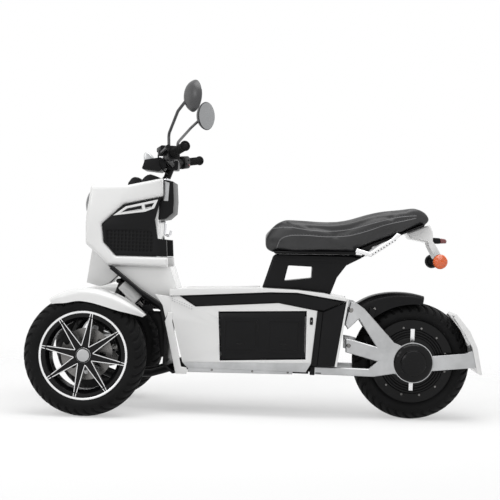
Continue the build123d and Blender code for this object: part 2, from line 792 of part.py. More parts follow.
rail_outside = at((256, 935), (112, 901), (-32, 894), (-48, 745), (-45, 663), (49, 580), (289, 579))
rail_inside = at((285, 620), (77, 618), (26, 671), (17, 744), (103, 826), (259, 862))
with BuildPart() as rails:
    add(slab(rail_outside + rail_inside, RAIL_IN, RAIL_OUT, bevel=RAIL_EDGE))
    mirror(about=Plane.XZ)
save(rails.part, "cowl_rails")

pod_front = at((283, 622), (79, 620), (29, 672), (20, 743), (104, 823), (256, 859))
pod_rear = at((248, 850), (229, 767), (243, 692), (278, 690))
grille_outline = at((34, 720), (198, 729), (217, 718), (232, 690), (226, 640), (80, 630), (38, 674))
with BuildPart() as pods:
    add(slab(pod_front + pod_rear, RAIL_IN, POD_Y, bevel=2))
    add(slab(grille_outline, POD_Y - GRILLE_DROP, POD_Y), mode=Mode.SUBTRACT)
    with BuildSketch(Plane.XZ.offset(POD_Y - GRILLE_DROP)):
        with Locations(at((132, 680))[0]):
            with GridLocations(GRILLE_PITCH, GRILLE_PITCH, 13, 6):
                Rectangle(GRILLE_HOLE, GRILLE_HOLE)
        with BuildLine():
            Polyline(*grille_outline, close=True)
        make_face(mode=Mode.INTERSECT)
    extrude(amount=GRILLE_DROP - GRILLE_DEPTH, mode=Mode.SUBTRACT)
    mirror(about=Plane.XZ)
save(pods.part, "side_pods")

with BuildPart() as marker_lamps:
    wedge = at((62, 778), (112, 816), (240, 848), (226, 812), (189, 797))
    add(slab(wedge, POD_Y + SEAT_GAP, POD_Y + 6, bevel=1))
    for window in (at((92, 790), (118, 809), (176, 823), (180, 804)), at((186, 826), (226, 835), (215, 815), (190, 807))):
        add(slab(window, POD_Y + 3, POD_Y + 6), mode=Mode.SUBTRACT)
    mirror(about=Plane.XZ)
save(marker_lamps.part, "marker_lamps")

with BuildPart() as headlamp:
    lamp_plane = Plane(origin=spot(-41.5, 832), x_dir=(0, 1, 0), z_dir=(-129, 0, 17))
    with BuildSketch(Plane(origin=lamp_plane.origin, x_dir=(0, 1, 0), z_dir=lamp_plane.y_dir)):
        with BuildLine():
            rim = Polyline((0, -SEAT_GAP), (LAMP_R, -SEAT_GAP), (LAMP_R, -LAMP_RING), (LAMP_R - 4, -LAMP_RING))
            dome = TangentArc((0, -LAMP_DOME), rim @ 1, tangent=(1, 0))
            Line(dome @ 0, rim @ 0)
        make_face()
    revolve(axis=Axis(lamp_plane.origin, lamp_plane.z_dir))
save(headlamp.part, "headlamp")

with BuildPart() as dash:
    dash_outline = at((240.3, 934), (293, 924), (299, 848), (297, 798), (271, 774), (240.3, 768))
    add(slab(dash_outline, -DASH_Y, DASH_Y, bevel=10))
    saddle = at((11, 900.3), (20, 938), (84, 945), (156, 965), (238, 937), (238, 900.3))
    add(slab(saddle, -SADDLE_Y, SADDLE_Y, bevel=8))
    add(head_core, mode=Mode.SUBTRACT)
save(dash.part, "dash_panels")

with BuildPart() as hook:
    hook_route = [spot(240.3, 762), spot(258, 762), spot(256, 712), spot(277, 704), spot(282, 728)]
    add(tube(hook_route, 5, 8))
save(hook.part, "bag_hook")

# Leg shield, nose cover, wheel arch and deck

deck_top = at((303, 494.2), (326, 495.2), (326, 496.1), (664, 512), (806, 509), (912, 500), (1002, 482))
deck_under = at((342, 471), (701, 497), (806, 499), (1000, 472))
shield_low = at((64, 578), (183, 487), (270, 434))
shield_rear = at((302.7, 466), (302.7, 494.5), (324, 495.4), (295, 581.7), (66, 581.7))
with BuildPart() as leg_shield:
    add(slab(shield_low + shield_rear, -SHIELD_Y, SHIELD_Y))
    shield_hollow = at((84, 590), (188, 497), (268, 448), (294, 472), (294, 500), (310, 505), (286, 590))
    add(slab(shield_hollow, -SHIELD_Y + SHIELD_WALL, SHIELD_Y - SHIELD_WALL), mode=Mode.SUBTRACT)
    nose = at((-24, 648.8), (-42, 506), (9, 493), (47, 507), (82, 540), (44, 576), (43, 582.3))
    add(slab(nose, -NOSE_Y, NOSE_Y))
    nose_hollow = at((-16, 650), (-32, 515), (9, 500), (44, 514), (68, 540), (36, 580), (36, 600))
    add(slab(nose_hollow, -NOSE_Y + NOSE_WALL, NOSE_Y - NOSE_WALL), mode=Mode.SUBTRACT)
    add(head_core, mode=Mode.SUBTRACT)
save(leg_shield.part, "leg_shield")

backbone = [
    spot(104, 516, -16),
    spot(258, 416, -BACKBONE_Y),
    spot(700, 417, -BACKBONE_Y),
    spot(888, 415, -BACKBONE_Y),
]
rail_start = steer_point(-ARM_LEVEL, PIVOT_HALF + END_PLAY + LUG_T + SEAT_GAP, -CHEEK_IN)
low_rail = [
    rail_start,
    rail_start + back_axis * 40,
    spot(230, 150, -62),
    spot(345, 190, -RAIL_TUBE_Y),
    spot(862, 191, -RAIL_TUBE_Y),
]
pivot_half = SWING_IN - SEAT_GAP
cross_bars = ((850, 191, RAIL_TUBE_Y), (888, 415, SUPPORT_Y), (360, 190, RAIL_TUBE_Y), (892, 191, pivot_half))

with BuildPart() as frame:
    add(tube(backbone, TUBE_R))
    add(tube(low_rail, TUBE_R, 30))
    add(slab(at((186, 405), (206, 405), (212, 440), (188, 454)), 26, 34))
    add(slab(at((186, 424), (232, 424), (228, 400), (190, 400)), DAMPER_Y + 14, DAMPER_Y + 19))
    post = at((850, 180), (892, 180), (896, 300), (896, 418), (870, 418), (866, 220), (850, 204))
    add(slab(post, 55, 65))
    mirror(about=Plane.XZ)
    add(rod(damper_foot + damper_side * 1.2, damper_foot - damper_side * 1.2, DAMPER_BAR_R))
    for x, z, half in cross_bars:
        add(rod(spot(x, z, -half), spot(x, z, half), CROSS_R))
    add(rod(steer_point(HEAD_LOW), steer_point(HEAD_TOP), HEAD_R + SEAT_GAP), mode=Mode.SUBTRACT)
save(frame.part, "main_frame")

with BuildPart() as underbody:
    arch_face = lowered(shield_low, SEAT_GAP) + at((280, 433), (296, 335), (293, 197), (334, 162))
    arch_back = at((323, 160), (283, 194), (286, 335), (262, 424), (178, 476), (60, 566))
    add(slab(arch_face + arch_back, -PANEL_Y + PANEL_T, PANEL_Y - PANEL_T))
    pan = at((345, 208), (849.7, 208), (849.7, 216), (345, 216))
    add(slab(pan, -PANEL_Y + SILL_T + SEAT_GAP, PANEL_Y - SILL_T - SEAT_GAP))
    for route, bend in ((backbone, BEND_R), (low_rail, 30)):
        add(tube(route, TUBE_R + 1, bend), mode=Mode.SUBTRACT)
        add(tube([across(point) for point in route], TUBE_R + 1, bend), mode=Mode.SUBTRACT)
    add(head_core, mode=Mode.SUBTRACT)
save(underbody.part, "underbody")

with BuildPart() as deck:
    add(slab(deck_top + deck_under[::-1] + at((303, 468)), -DECK_Y, DECK_Y))
save(deck.part, "floor_deck")

trim_low = at((909, 427), (734, 455), (407, 429))
with BuildPart() as side_trims:
    add(slab(lowered(deck_under, SEAT_GAP) + trim_low, TRIM_Y - TRIM_T, TRIM_Y, bevel=7))
    flat_corner = at((888, 429), (909, 426.6), (893, 210), (890, 210), (873, 214))
    add(slab(flat_corner, TRIM_Y - TRIM_T, TRIM_Y - 1))
    bent_corner = at((909, 426.6), (1001, 470), (963, 212), (892, 210))
    add(slab(bent_corner, TRIM_Y - TRIM_T, TRIM_Y - 5, bevel=3))
    mirror(about=Plane.XZ)
save(side_trims.part, "side_trims")

# Side panels with the battery bays: a hinged door on the left, a fixed cover on the right

door_outline = at((504, 408), (841, 423), (843, 242), (516, 225))
edge_steps = ((-2 * HINGE_BACK, DOOR_GAP), (DOOR_GAP, DOOR_GAP), (DOOR_GAP, -DOOR_GAP), (-2 * HINGE_BACK, -DOOR_GAP))
door_hole = [(x + dx, z + dz) for (x, z), (dx, dz) in zip(door_outline, edge_steps)]
hinge_top = Vector(door_outline[0][0] - HINGE_BACK, -PANEL_Y - 1, door_outline[0][1] + HINGE_BACK - SEAT_GAP)
hinge_foot = Vector(door_outline[3][0] - HINGE_BACK, -PANEL_Y - 1, door_outline[3][1] - HINGE_BACK + SEAT_GAP)


def hinge_point(share):
    """A point of the door's hinge line, from its top to its foot."""
    return hinge_top + (hinge_foot - hinge_top) * share


def hinge_barrel(start, stop, reach):
    """A knuckle of the hinge with a leaf that reaches to the panel or to the door."""
    a = hinge_point(start)
    b = hinge_point(stop)
    leaf = [(a.X, a.Z), (b.X, b.Z), (b.X + reach, b.Z), (a.X + reach, a.Z)]
    return rod(a, b, HINGE_R) + slab(leaf, PANEL_Y - 2, PANEL_Y)


panel_low = at((870, 222), (362, 209))
panel_top = at((304, 465), (341, 469), (406, 429)) + lowered(at((407, 429), (734, 455), (888, 430)), SEAT_GAP)
post_outline = at((299, 402), (288, 366), (337, 162), (381, 162), (381, 186.4), (358, 190), (317, 366), (318, 402))
grip_band = at((306, 463), (338, 467), (404, 427), (392, 418), (330, 442))
tail_strip = at((1001.4, 470), (1002, 481.4), (1010, 480), (972, 212), (963.4, 212))
with BuildPart() as side_panels:
    add(slab(panel_top + panel_low + at((312, 398)), PANEL_Y - PANEL_T, PANEL_Y))
    add(slab(door_hole, PANEL_Y - PANEL_T, PANEL_Y), mode=Mode.SUBTRACT)
    add(slab(post_outline, PANEL_Y - PANEL_T + SEAT_GAP, PANEL_Y + 6, bevel=2))
    add(slab(grip_band, PANEL_Y - 1, PANEL_Y + 2))
    add(slab(tail_strip, TRIM_Y - TRIM_T, TRIM_Y - 4))
    mirror(about=Plane.XZ)
    for start, stop in ((0.1, 0.16), (0.28, 0.34), (0.66, 0.72), (0.84, 0.9)):
        add(hinge_barrel(start, stop, -HINGE_R - 1))
    for start, stop in ((0.1, 0.34), (0.66, 0.9)):
        add(rod(hinge_point(start), hinge_point(stop), HINGE_PIN_R))
save(side_panels.part, "side_panels")

door_squares = (at((520, 385), (657, 388), (657, 258), (520, 253)), at((694, 391), (826, 393), (826, 262), (694, 259)))
with BuildPart() as battery_door:
    add(slab(door_outline, PANEL_Y - PANEL_T, PANEL_Y))
    for square in door_squares:
        add(slab(square, PANEL_Y, PANEL_Y + PAD_T, 8))
    for start, stop in ((0.17, 0.27), (0.73, 0.83)):
        add(hinge_barrel(start, stop, HINGE_R + 1))
    add(rod(hinge_point(0), hinge_point(1), HINGE_PIN_R + RUN_FIT), mode=Mode.SUBTRACT)
save(battery_door.part, "battery_door")

cover_steps = [(dx - math.copysign(SEAT_GAP, dx), dz - math.copysign(SEAT_GAP, dz)) for dx, dz in edge_steps]
cover_outline = [(x + dx, z + dz) for (x, z), (dx, dz) in zip(door_outline, cover_steps)]
with BuildPart() as battery_cover:
    add(slab(cover_outline, PANEL_Y - PANEL_T, PANEL_Y))
    for square in door_squares:
        add(slab(square, PANEL_Y, PANEL_Y + PAD_T, 8))
    mirror(about=Plane.XZ, mode=Mode.REPLACE)
save(battery_cover.part, "battery_cover_right")

with BuildPart() as batteries:
    for front, rear in ((532, 672), (692, 832)):
        case = at((front, 216.3), (rear, 216.3), (rear, 392), (front, 392))
        add(slab(case, -BATTERY_Y, BATTERY_Y, 8))
save(batteries.part, "battery_packs")

with BuildPart() as sills:
    add(slab(lowered(panel_low[::-1], SEAT_GAP) + at((850, 187), (383, 187)), PANEL_Y - SILL_T, TRIM_Y))
    lower_bar = at((384, 169), (384, 188), (800, 188), (797, 176))
    add(slab(lower_bar, PANEL_Y - SILL_T, PANEL_Y - 2, bevel=2))
    mirror(about=Plane.XZ)
save(sills.part, "sills")

# Seat and tail

base_low = at((714, 648.3), (1020, 655.3), (1062, 646.3), (1100, 690), (1220, 745), (1300, 778))
seat_low = at((702, 660), (1022, 669), (1090, 701), (1220, 753), (1303, 788))
support_low = lowered(at((665, 512), (806, 509), (912, 500)), -SEAT_GAP) + at((939, 495))
support_top = at((963, 562), (999, 612), (1062, 646), (1020, 655), (714, 648), (704, 639))
with BuildPart() as support:
    add(slab(support_low + support_top, -SUPPORT_Y, SUPPORT_Y, bevel=6))
    add(slab(at((767, 604), (863, 602), (862, 556), (753, 541)), -SUPPORT_Y, SUPPORT_Y), mode=Mode.SUBTRACT)
save(support.part, "seat_support")

with BuildPart() as seat_base:
    add(slab(base_low + lowered(seat_low, SEAT_GAP)[::-1], -SEAT_BASE_Y, SEAT_BASE_Y))
save(seat_base.part, "seat_base")

seat_rear = at((1303, 788), (1328, 805), (1305, 838), (1229, 840), (1148, 829), (1067, 810), (986, 785))
seat_front = at((850, 778), (768, 780), (719, 773), (687, 742), (665, 697), (672, 665), (702, 660))
with BuildPart() as seat:
    with BuildSketch(Plane.XZ.offset(-SEAT_Y)):
        with BuildLine():
            Polyline(*seat_low)
            Spline(*seat_rear, *seat_front)
        make_face()
    extrude(amount=2 * SEAT_Y)
save(seat.part, "seat_cushion")

with BuildPart() as grab_rails:
    grab_low = at((1029, 667), (1090, 650), (1182, 712), (1206, 742))
    grab_top = at((1190, 748), (1170, 726), (1088, 668), (1034, 682))
    add(slab(grab_low + grab_top, GRAB_Y - GRAB_T, GRAB_Y, bevel=3))
    for foot in (at((1032, 657), (1056, 655), (1056, 667), (1032, 667)), at((1178, 727), (1200, 738), (1204, 744), (1184, 737))):
        add(slab(foot, SEAT_BASE_Y + SEAT_GAP, GRAB_Y - 4))
    mirror(about=Plane.XZ)
save(grab_rails.part, "grab_rails")

with BuildPart() as tail:
    tail_top = lowered(at((1236, 751.5), (1300, 778)), SEAT_GAP)
    tail_rest = at((1328, 786), (1340, 760), (1342, 742), (1342, 712), (1253, 728))
    add(slab(tail_top + tail_rest, -TAIL_Y, TAIL_Y, bevel=6))
    stalk = at((1322, 722), (1341, 722), (1352, 708), (1378, 664), (1358, 650), (1332, 698))
    for side in (-STALK_Y - STALK_T, STALK_Y):
        add(slab(stalk, side, side + STALK_T))
save(tail.part, "tail_cover")

with BuildPart() as tail_lamp:
    add(slab(at((1342.3, 714), (1342.3, 738), (1364, 736), (1362, 714)), -44, 44, 2))
save(tail_lamp.part, "tail_lamp")

with BuildPart() as signals:
    lamp_centre = spot(1365, 641, -SIGNAL_Y)
    with BuildSketch(Plane(origin=lamp_centre, z_dir=(0, -1, 0))):
        Circle(SIGNAL_R)
    extrude(amount=SIGNAL_T)
    with BuildSketch(Plane(origin=lamp_centre, z_dir=(0, 1, 0))):
        Circle(SIGNAL_R - 6)
    extrude(amount=10, taper=30)
    lamp_foot = spot(1366, 660, -STALK_Y - STALK_T - SEAT_GAP)
    add(rod(lamp_foot, Vector(lamp_foot.X, -SIGNAL_Y - 5, lamp_foot.Z), 7))
    mirror(about=Plane.XZ)
save(signals.part, "rear_signals")

# Swing arm and rear wheel

arm_top = by_rear((1020, 470), (1041, 467), (1075, 444), (1117, 400), (1198, 313), (1231, 300), (1300, 300))
arm_low = by_rear((1300, 175), (1200, 190), (1120, 175), (876, 175), (876, 206), (1100, 206), (1135, 236))
arm_middle = by_rear((1007, 268), (1005, 322), (1032, 319), (1129, 294), (1055, 402), (1012, 359), (1000, 380))
rear_axis = Axis((REAR_X, 0, TYRE_R), (0, 1, 0))
brace_x, brace_z = by_rear((1018, 295))[0]
with BuildPart() as swingarm:
    add(slab(arm_top + arm_low + arm_middle, SWING_IN, SWING_OUT, bevel=3))
    with BuildSketch(wheel_face(REAR_X, 0, SWING_IN)):
        Circle(SWING_EYE_R)
    extrude(amount=SWING_OUT - SWING_IN)
    with BuildSketch(wheel_face(REAR_X, 0, MOTOR_Y + END_PLAY)):
        Circle(SWING_BOSS_R)
    extrude(amount=SWING_IN - MOTOR_Y)
    mirror(about=Plane.XZ)
    for x, z in ((shock_bar.X, shock_bar.Z), (brace_x, brace_z)):
        add(rod((x, -SWING_IN, z), (x, SWING_IN, z), SWING_BAR_R))
    with BuildSketch(wheel_face(REAR_X, 0, -SWING_IN)):
        Circle(MOTOR_AXLE_R)
    extrude(amount=2 * SWING_IN)
save(swingarm.part, "swingarm")

save(tyre(REAR_X, 0), "rear_tyre")
drum_r = RIM_SEAT_R - BARREL_T
ridges = []
for ridge in (0.67, 0.74, 0.81):
    ridges += [(ridge * drum_r, -56), (ridge * drum_r + 2, -59), (ridge * drum_r + 7, -59), (ridge * drum_r + 9, -56)]
motor = [(MOTOR_AXLE_R + RUN_FIT, -MOTOR_Y), (40, -MOTOR_Y), (56, -64), (0.63 * drum_r, -60)] + ridges
motor_lip = [(0.89 * drum_r, -52), (drum_r, -RIM_HALF), (LIP_R, -RIM_HALF), (LIP_R, -BEAD_HALF), (RIM_SEAT_R, -BEAD_HALF)]
motor_side = motor + motor_lip
with BuildPart() as hub_motor:
    with BuildSketch(wheel_plane(REAR_X, 0)):
        with BuildLine():
            Polyline(*motor_side, *[(r, -y) for r, y in motor_side[::-1]], close=True)
        make_face()
    revolve(axis=rear_axis)
    with BuildSketch(wheel_face(REAR_X, 0, -MOTOR_Y + 1)):
        Circle(REAR_DISC_HOLE_R + 9)
        Circle(REAR_DISC_HOLE_R, mode=Mode.SUBTRACT)
    extrude(amount=MOTOR_Y - 1 - REAR_DISC_Y + SEAT_GAP)
save(hub_motor.part, "hub_motor")

with BuildPart() as rear_disc:
    with BuildSketch(wheel_face(REAR_X, 0, -REAR_DISC_Y)):
        Circle(REAR_DISC_R)
        Circle(REAR_DISC_HOLE_R, mode=Mode.SUBTRACT)
        with PolarLocations(0.7 * REAR_DISC_R, 6):
            SlotOverall(30, 14, mode=Mode.SUBTRACT)
    extrude(amount=-DISC_T)
save(rear_disc.part, "rear_disc")

with BuildPart() as rear_caliper:
    with BuildSketch(wheel_face(REAR_X, 0, -MOTOR_Y)):
        with Locations((-80, 16)):
            RectangleRounded(44, 36, 6)
    extrude(amount=MOTOR_Y - SWING_IN + SEAT_GAP)
    with BuildSketch(wheel_face(REAR_X, 0, -REAR_DISC_Y + PAD_GAP)):
        Circle(REAR_DISC_R + 2)
    extrude(amount=-DISC_T - 2 * PAD_GAP, mode=Mode.SUBTRACT)
save(rear_caliper.part, "rear_caliper")

with BuildPart() as hub_covers:
    cover_section = [(0, 0), (COVER_R, 0), (COVER_R, -5), (COVER_R - 8, -13), (56, -17), (52, -17), (49, -25), (38, -30), (0, -31)]
    seat_y = -SWING_OUT - SEAT_GAP
    with BuildSketch(wheel_plane(REAR_X, seat_y)):
        with BuildLine():
            Polyline(*cover_section, close=True)
        make_face()
    revolve(axis=rear_axis)
    mirror(about=Plane.XZ)
save(hub_covers.part, "hub_covers")

guard_out = by_rear((1441, 436), (1497, 369), (1528, 304), (1550, 198))
guard_in = by_rear((1540, 198), (1517, 304), (1486, 363), (1433, 428))
guard_rim = by_rear((1530, 206), (1507, 306), (1478, 356), (1430, 422))
with BuildPart() as guard:
    add(slab(guard_out + guard_in, -GUARD_Y, GUARD_Y))
    for side in (-GUARD_Y, GUARD_Y - SHELL_T):
        add(slab(guard_out + guard_rim, side, side + SHELL_T))
save(guard.part, "rear_mudguard")

arm_y = SWING_IN + 2
with BuildPart() as guard_arms:
    arm_outline = by_rear((1340, 264), (1480, 280), (1518.4, 296), (1534.1, 224), (1496, 222), (1340, 204))
    add(slab(arm_outline, arm_y, GUARD_Y - SHELL_T - SEAT_GAP))
    with BuildSketch(wheel_face(REAR_X, 0, arm_y)):
        Circle(SWING_EYE_R + SEAT_GAP)
    extrude(amount=GUARD_Y - arm_y, mode=Mode.SUBTRACT)
    mirror(about=Plane.XZ)
save(guard_arms.part, "mudguard_arms")
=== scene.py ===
import bmesh
import bpy
import json
import math
from mathutils import Matrix, Vector
from mathutils.bvhtree import BVHTree


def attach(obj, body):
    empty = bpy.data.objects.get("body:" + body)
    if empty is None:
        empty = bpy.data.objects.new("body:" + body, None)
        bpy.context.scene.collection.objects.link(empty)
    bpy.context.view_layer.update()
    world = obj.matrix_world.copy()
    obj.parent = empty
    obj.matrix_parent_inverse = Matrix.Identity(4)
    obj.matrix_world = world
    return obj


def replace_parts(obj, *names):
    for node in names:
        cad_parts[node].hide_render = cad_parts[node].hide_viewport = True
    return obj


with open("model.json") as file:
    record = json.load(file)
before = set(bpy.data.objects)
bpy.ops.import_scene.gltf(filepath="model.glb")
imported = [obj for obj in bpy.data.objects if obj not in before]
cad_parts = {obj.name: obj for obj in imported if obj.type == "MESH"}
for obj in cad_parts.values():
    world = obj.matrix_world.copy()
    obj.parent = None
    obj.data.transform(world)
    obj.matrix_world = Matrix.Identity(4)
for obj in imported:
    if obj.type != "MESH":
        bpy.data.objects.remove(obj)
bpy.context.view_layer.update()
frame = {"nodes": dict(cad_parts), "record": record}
nodes = frame["nodes"]
record = frame["record"]
body_of = {n: b for b, names in record["behaviour"]["bodies"].items() for n in names}
slot_of = {s["node"]: s["material_slot"] for s in record["subparts"]}

# Metres. X runs from the nose (-) to the tail (+), the rider's left is -Y, Z is up.
FRONT_X = -0.6568
REAR_X = 0.6182
TYRE_R = 0.2364
FRONT_Y = 0.295

# The rider's left and right
SIDES = (-1, 1)
HANDS = (("left", -1), ("right", 1))


# Materials

def node(tree, kind, **values):
    """A shader node with the given input values."""
    made = tree.nodes.new(kind)
    for key, value in values.items():
        made.inputs[key.replace("_", " ")].default_value = value
    return made


def finish_surface(name, colour, rough, metal=0.0, vary=0.06, grain=None, shader=None):
    """A principled surface whose colour, gloss and fine relief vary over the piece."""
    made = bpy.data.materials.new(name)
    made.use_nodes = True
    tree = made.node_tree
    base = tree.nodes["Principled BSDF"]
    base.inputs["Metallic"].default_value = metal
    for key, value in (shader or {}).items():
        base.inputs[key].default_value = value
    spot = tree.nodes.new("ShaderNodeTexCoord").outputs["Object"]
    cloud = node(tree, "ShaderNodeTexNoise", Scale=9.0, Detail=5.0, Roughness=0.6)
    tree.links.new(spot, cloud.inputs["Vector"])
    ramp = tree.nodes.new("ShaderNodeValToRGB")
    ramp.color_ramp.elements[0].position = 0.3
    ramp.color_ramp.elements[1].position = 0.7
    ramp.color_ramp.elements[0].color = [c * (1 - vary) for c in colour] + [1]
    ramp.color_ramp.elements[1].color = [min(1, c * (1 + vary)) for c in colour] + [1]
    tree.links.new(cloud.outputs["Fac"], ramp.inputs["Fac"])
    tree.links.new(ramp.outputs["Color"], base.inputs["Base Color"])
    speck = node(tree, "ShaderNodeTexNoise", Scale=60.0, Detail=3.0)
    tree.links.new(spot, speck.inputs["Vector"])
    gloss = tree.nodes.new("ShaderNodeMapRange")
    gloss.inputs["To Min"].default_value = rough[0]
    gloss.inputs["To Max"].default_value = rough[1]
    tree.links.new(speck.outputs["Fac"], gloss.inputs["Value"])
    tree.links.new(gloss.outputs["Result"], base.inputs["Roughness"])
    if grain:
        kind, scale, strength, depth = grain
        if kind == "cells":
            relief = node(tree, "ShaderNodeTexVoronoi", Scale=scale)
            relief.feature = "DISTANCE_TO_EDGE"
            height = relief.outputs["Distance"]
        else:
            relief = node(tree, "ShaderNodeTexNoise", Scale=scale, Detail=2.0)
            height = relief.outputs["Fac"]
        tree.links.new(spot, relief.inputs["Vector"])
        bump = node(tree, "ShaderNodeBump", Strength=strength, Distance=depth)
        tree.links.new(height, bump.inputs["Height"])
        tree.links.new(bump.outputs["Normal"], base.inputs["Normal"])
    return made


coat = {"Coat Weight": 0.6, "Coat Roughness": 0.06}
dull = {"Specular IOR Level": 0.10}
satin = {"Specular IOR Level": 0.16}
gloss_black = {"Coat Weight": 0.12, "Coat Roughness": 0.05, "Specular IOR Level": 0.14}
leather_sheen = {"Specular IOR Level": 0.42, "Coat Weight": 0.28, "Coat Roughness": 0.28}
lens_coat = {"Coat Weight": 1.0, "Coat Roughness": 0.03}
mats = {
    "white_paint": finish_surface("white_paint", (0.80, 0.80, 0.795), (0.2, 0.3), vary=0.012,
                                  grain=("noise", 260.0, 0.03, 0.0004), shader=coat),
    "black_plastic": finish_surface("black_plastic", (0.0045, 0.0045, 0.005), (0.3, 0.42), vary=0.2,
                                    grain=("noise", 900.0, 0.25, 0.0003), shader=satin),
    "black_metal": finish_surface("black_metal", (0.006, 0.006, 0.0065), (0.28, 0.4), metal=0.1, vary=0.2,
                                  grain=("noise", 500.0, 0.12, 0.0003), shader=satin),
    "wheel_black": finish_surface("wheel_black", (0.003, 0.003, 0.0033), (0.14, 0.24), vary=0.2,
                                  grain=("noise", 200.0, 0.05, 0.0003), shader=gloss_black),
    "silver_metal": finish_surface("silver_metal", (0.47, 0.475, 0.48), (0.24, 0.38), metal=1.0, vary=0.16,
                                   grain=("noise", 420.0, 0.18, 0.0003)),
    # Steel: its dark colour is partly the metal's own tone and partly painted shade, darkening the brake
    # discs inside the wheels
    "steel": finish_surface("steel", (0.2, 0.195, 0.19), (0.2, 0.36), metal=1.0, vary=0.3,
                            grain=("noise", 600.0, 0.1, 0.0002)),
    "chrome": finish_surface("chrome", (0.82, 0.82, 0.84), (0.05, 0.1), metal=1.0, vary=0.02),
    "tyre": finish_surface("tyre", (0.0068, 0.0068, 0.007), (0.5, 0.66), vary=0.25,
                           grain=("noise", 700.0, 0.3, 0.0004), shader=dull),
    "grip_rubber": finish_surface("grip_rubber", (0.005, 0.005, 0.005), (0.5, 0.7), vary=0.2,
                                  grain=("noise", 800.0, 0.3, 0.0004), shader=dull),
    "seat_leather": finish_surface("seat_leather", (0.011, 0.011, 0.012), (0.34, 0.46), vary=0.25,
                                   grain=("cells", 420.0, 0.3, 0.0005), shader=leather_sheen),
    "mirror": finish_surface("mirror", (0.3, 0.305, 0.31), (0.03, 0.09), metal=1.0, vary=0.03),
    "lamp_glass": finish_surface("lamp_glass", (0.55, 0.56, 0.58), (0.04, 0.1), vary=0.05, shader=lens_coat),
    "amber_lens": finish_surface("amber_lens", (0.75, 0.13, 0.02), (0.08, 0.16), vary=0.08, shader=lens_coat),
    "red_lens": finish_surface("red_lens", (0.16, 0.01, 0.01), (0.06, 0.14), vary=0.1, shader=lens_coat),
}
clear_lens = finish_surface("clear_lens", (0.2, 0.205, 0.21), (0.01, 0.03), vary=0.01,
                            shader={"Transmission Weight": 0.8, "IOR": 1.45})
mirror_shell = finish_surface("mirror_shell", (0.045, 0.045, 0.047), (0.3, 0.42), vary=0.1,
                              grain=("noise", 900.0, 0.15, 0.0003), shader={"Specular IOR Level": 0.6})
bright_silver = finish_surface("bright_silver", (0.86, 0.86, 0.865), (0.22, 0.34), metal=0.9, vary=0.03,
                               grain=("noise", 420.0, 0.12, 0.0003))
# Light grey: the stitches' own thread colour, and a painted highlight along the seat's piping
thread_and_seam_highlight = finish_surface("thread_and_seam_highlight", (0.2, 0.2, 0.205), (0.5, 0.7), vary=0.2,
                        grain=("noise", 2400.0, 0.4, 0.0002))
for name, cad in nodes.items():
    for index in range(max(1, len(cad.material_slots))):
        if not cad.material_slots:
            cad.data.materials.append(mats[slot_of[name]])
        cad.material_slots[index].material = mats[slot_of[name]]


# Softened copies of the CAD nodes, with their sharp edges rounded

def link(name, mesh, slot, body):
    """Puts a mesh into the scene as a piece on a body."""
    piece = bpy.data.objects.new(name, mesh)
    bpy.context.scene.collection.objects.link(piece)
    if not piece.data.materials:
        piece.data.materials.append(mats[slot])
    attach(piece, body)
    return piece


def baked(piece):
    """Applies a piece's modifiers to its mesh."""
    bpy.context.view_layer.update()
    graph = bpy.context.evaluated_depsgraph_get()
    mesh = bpy.data.meshes.new_from_object(piece.evaluated_get(graph))
    piece.modifiers.clear()
    piece.data = mesh
    return piece


def clean_copy(name):
    """A copy of a CAD node's mesh, with its flat faces whole again."""
    mesh = nodes[name].data.copy()
    edit = bmesh.new()
    edit.from_mesh(mesh)
    bmesh.ops.remove_doubles(edit, verts=edit.verts, dist=1e-6)
    bmesh.ops.dissolve_limit(edit, angle_limit=math.radians(0.6), verts=edit.verts, edges=edit.edges)
    edit.to_mesh(mesh)
    edit.free()
    return mesh


def shaded(piece, angle=40.0):
    """Smooth shading that keeps the sharp edges."""
    piece.data.shade_smooth()
    piece.data.set_sharp_from_angle(angle=math.radians(angle))
    return piece


def bevelled(piece, width, segments=3):
    """Rounds the edges of a piece."""
    bevel = piece.modifiers.new("round", "BEVEL")
    bevel.width = width
    bevel.segments = segments
    bevel.limit_method = "ANGLE"
    bevel.angle_limit = math.radians(28)
    return shaded(baked(piece))


def soften(name, width):
    """Replaces a CAD node with a copy whose edges are rounded."""
    piece = link(name + ".soft", clean_copy(name), slot_of[name], body_of[name])
    bevelled(piece, width)
    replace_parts(piece, name)
    return piece


def repaint(piece, material):
    """Gives the whole piece another material."""
    piece.data.materials[0] = material


SOFT = {
    "front_cowl": 0.012, "cowl_rails": 0.006, "leg_shield": 0.005, "side_pods": 0.0011, "floor_deck": 0.004,
    "side_panels": 0.002, "side_trims": 0.003, "sills": 0.003, "seat_support": 0.005, "seat_base": 0.004,
    "tail_cover": 0.008, "swingarm": 0.003, "mudguard_arms": 0.003, "rear_mudguard": 0.002,
    "underbody": 0.003, "grab_rails": 0.003, "display": 0.005, "battery_packs": 0.004, "battery_door": 0.0015,
    "battery_cover_right": 0.0015, "front_wheel_left": 0.0012, "front_wheel_right": 0.0012,
    "hub_motor": 0.001, "hub_covers": 0.002, "hand_controls": 0.0018, "handlebar": 0.0018,
    "front_caliper_left": 0.002, "front_caliper_right": 0.002, "rear_caliper": 0.002, "mirrors": 0.0012,
    "main_frame": 0.001, "wishbones": 0.002, "knuckle_left": 0.0015, "knuckle_right": 0.0015,
    "steering_stem": 0.001, "steering_tower": 0.0015, "tie_rod_left": 0.001, "tie_rod_right": 0.001,
}
softened = {name: soften(name, width) for name, width in SOFT.items()}
repaint(softened["hub_covers"], mats["wheel_black"])
repaint(softened["grab_rails"], bright_silver)
repaint(softened["mirrors"], mirror_shell)

# The hinge barrels on the white panels are black, like the door they carry
HINGE_FROM, HINGE_TO = 0.496, 0.5135
PANEL_Y = 0.1601
panels = softened["side_panels"].data
panels.materials.append(mats["black_plastic"])
for face in panels.polygons:
    if HINGE_FROM < face.center.x - FRONT_X < HINGE_TO and abs(face.center.y) > PANEL_Y:
        face.material_index = 1


# Piece builders

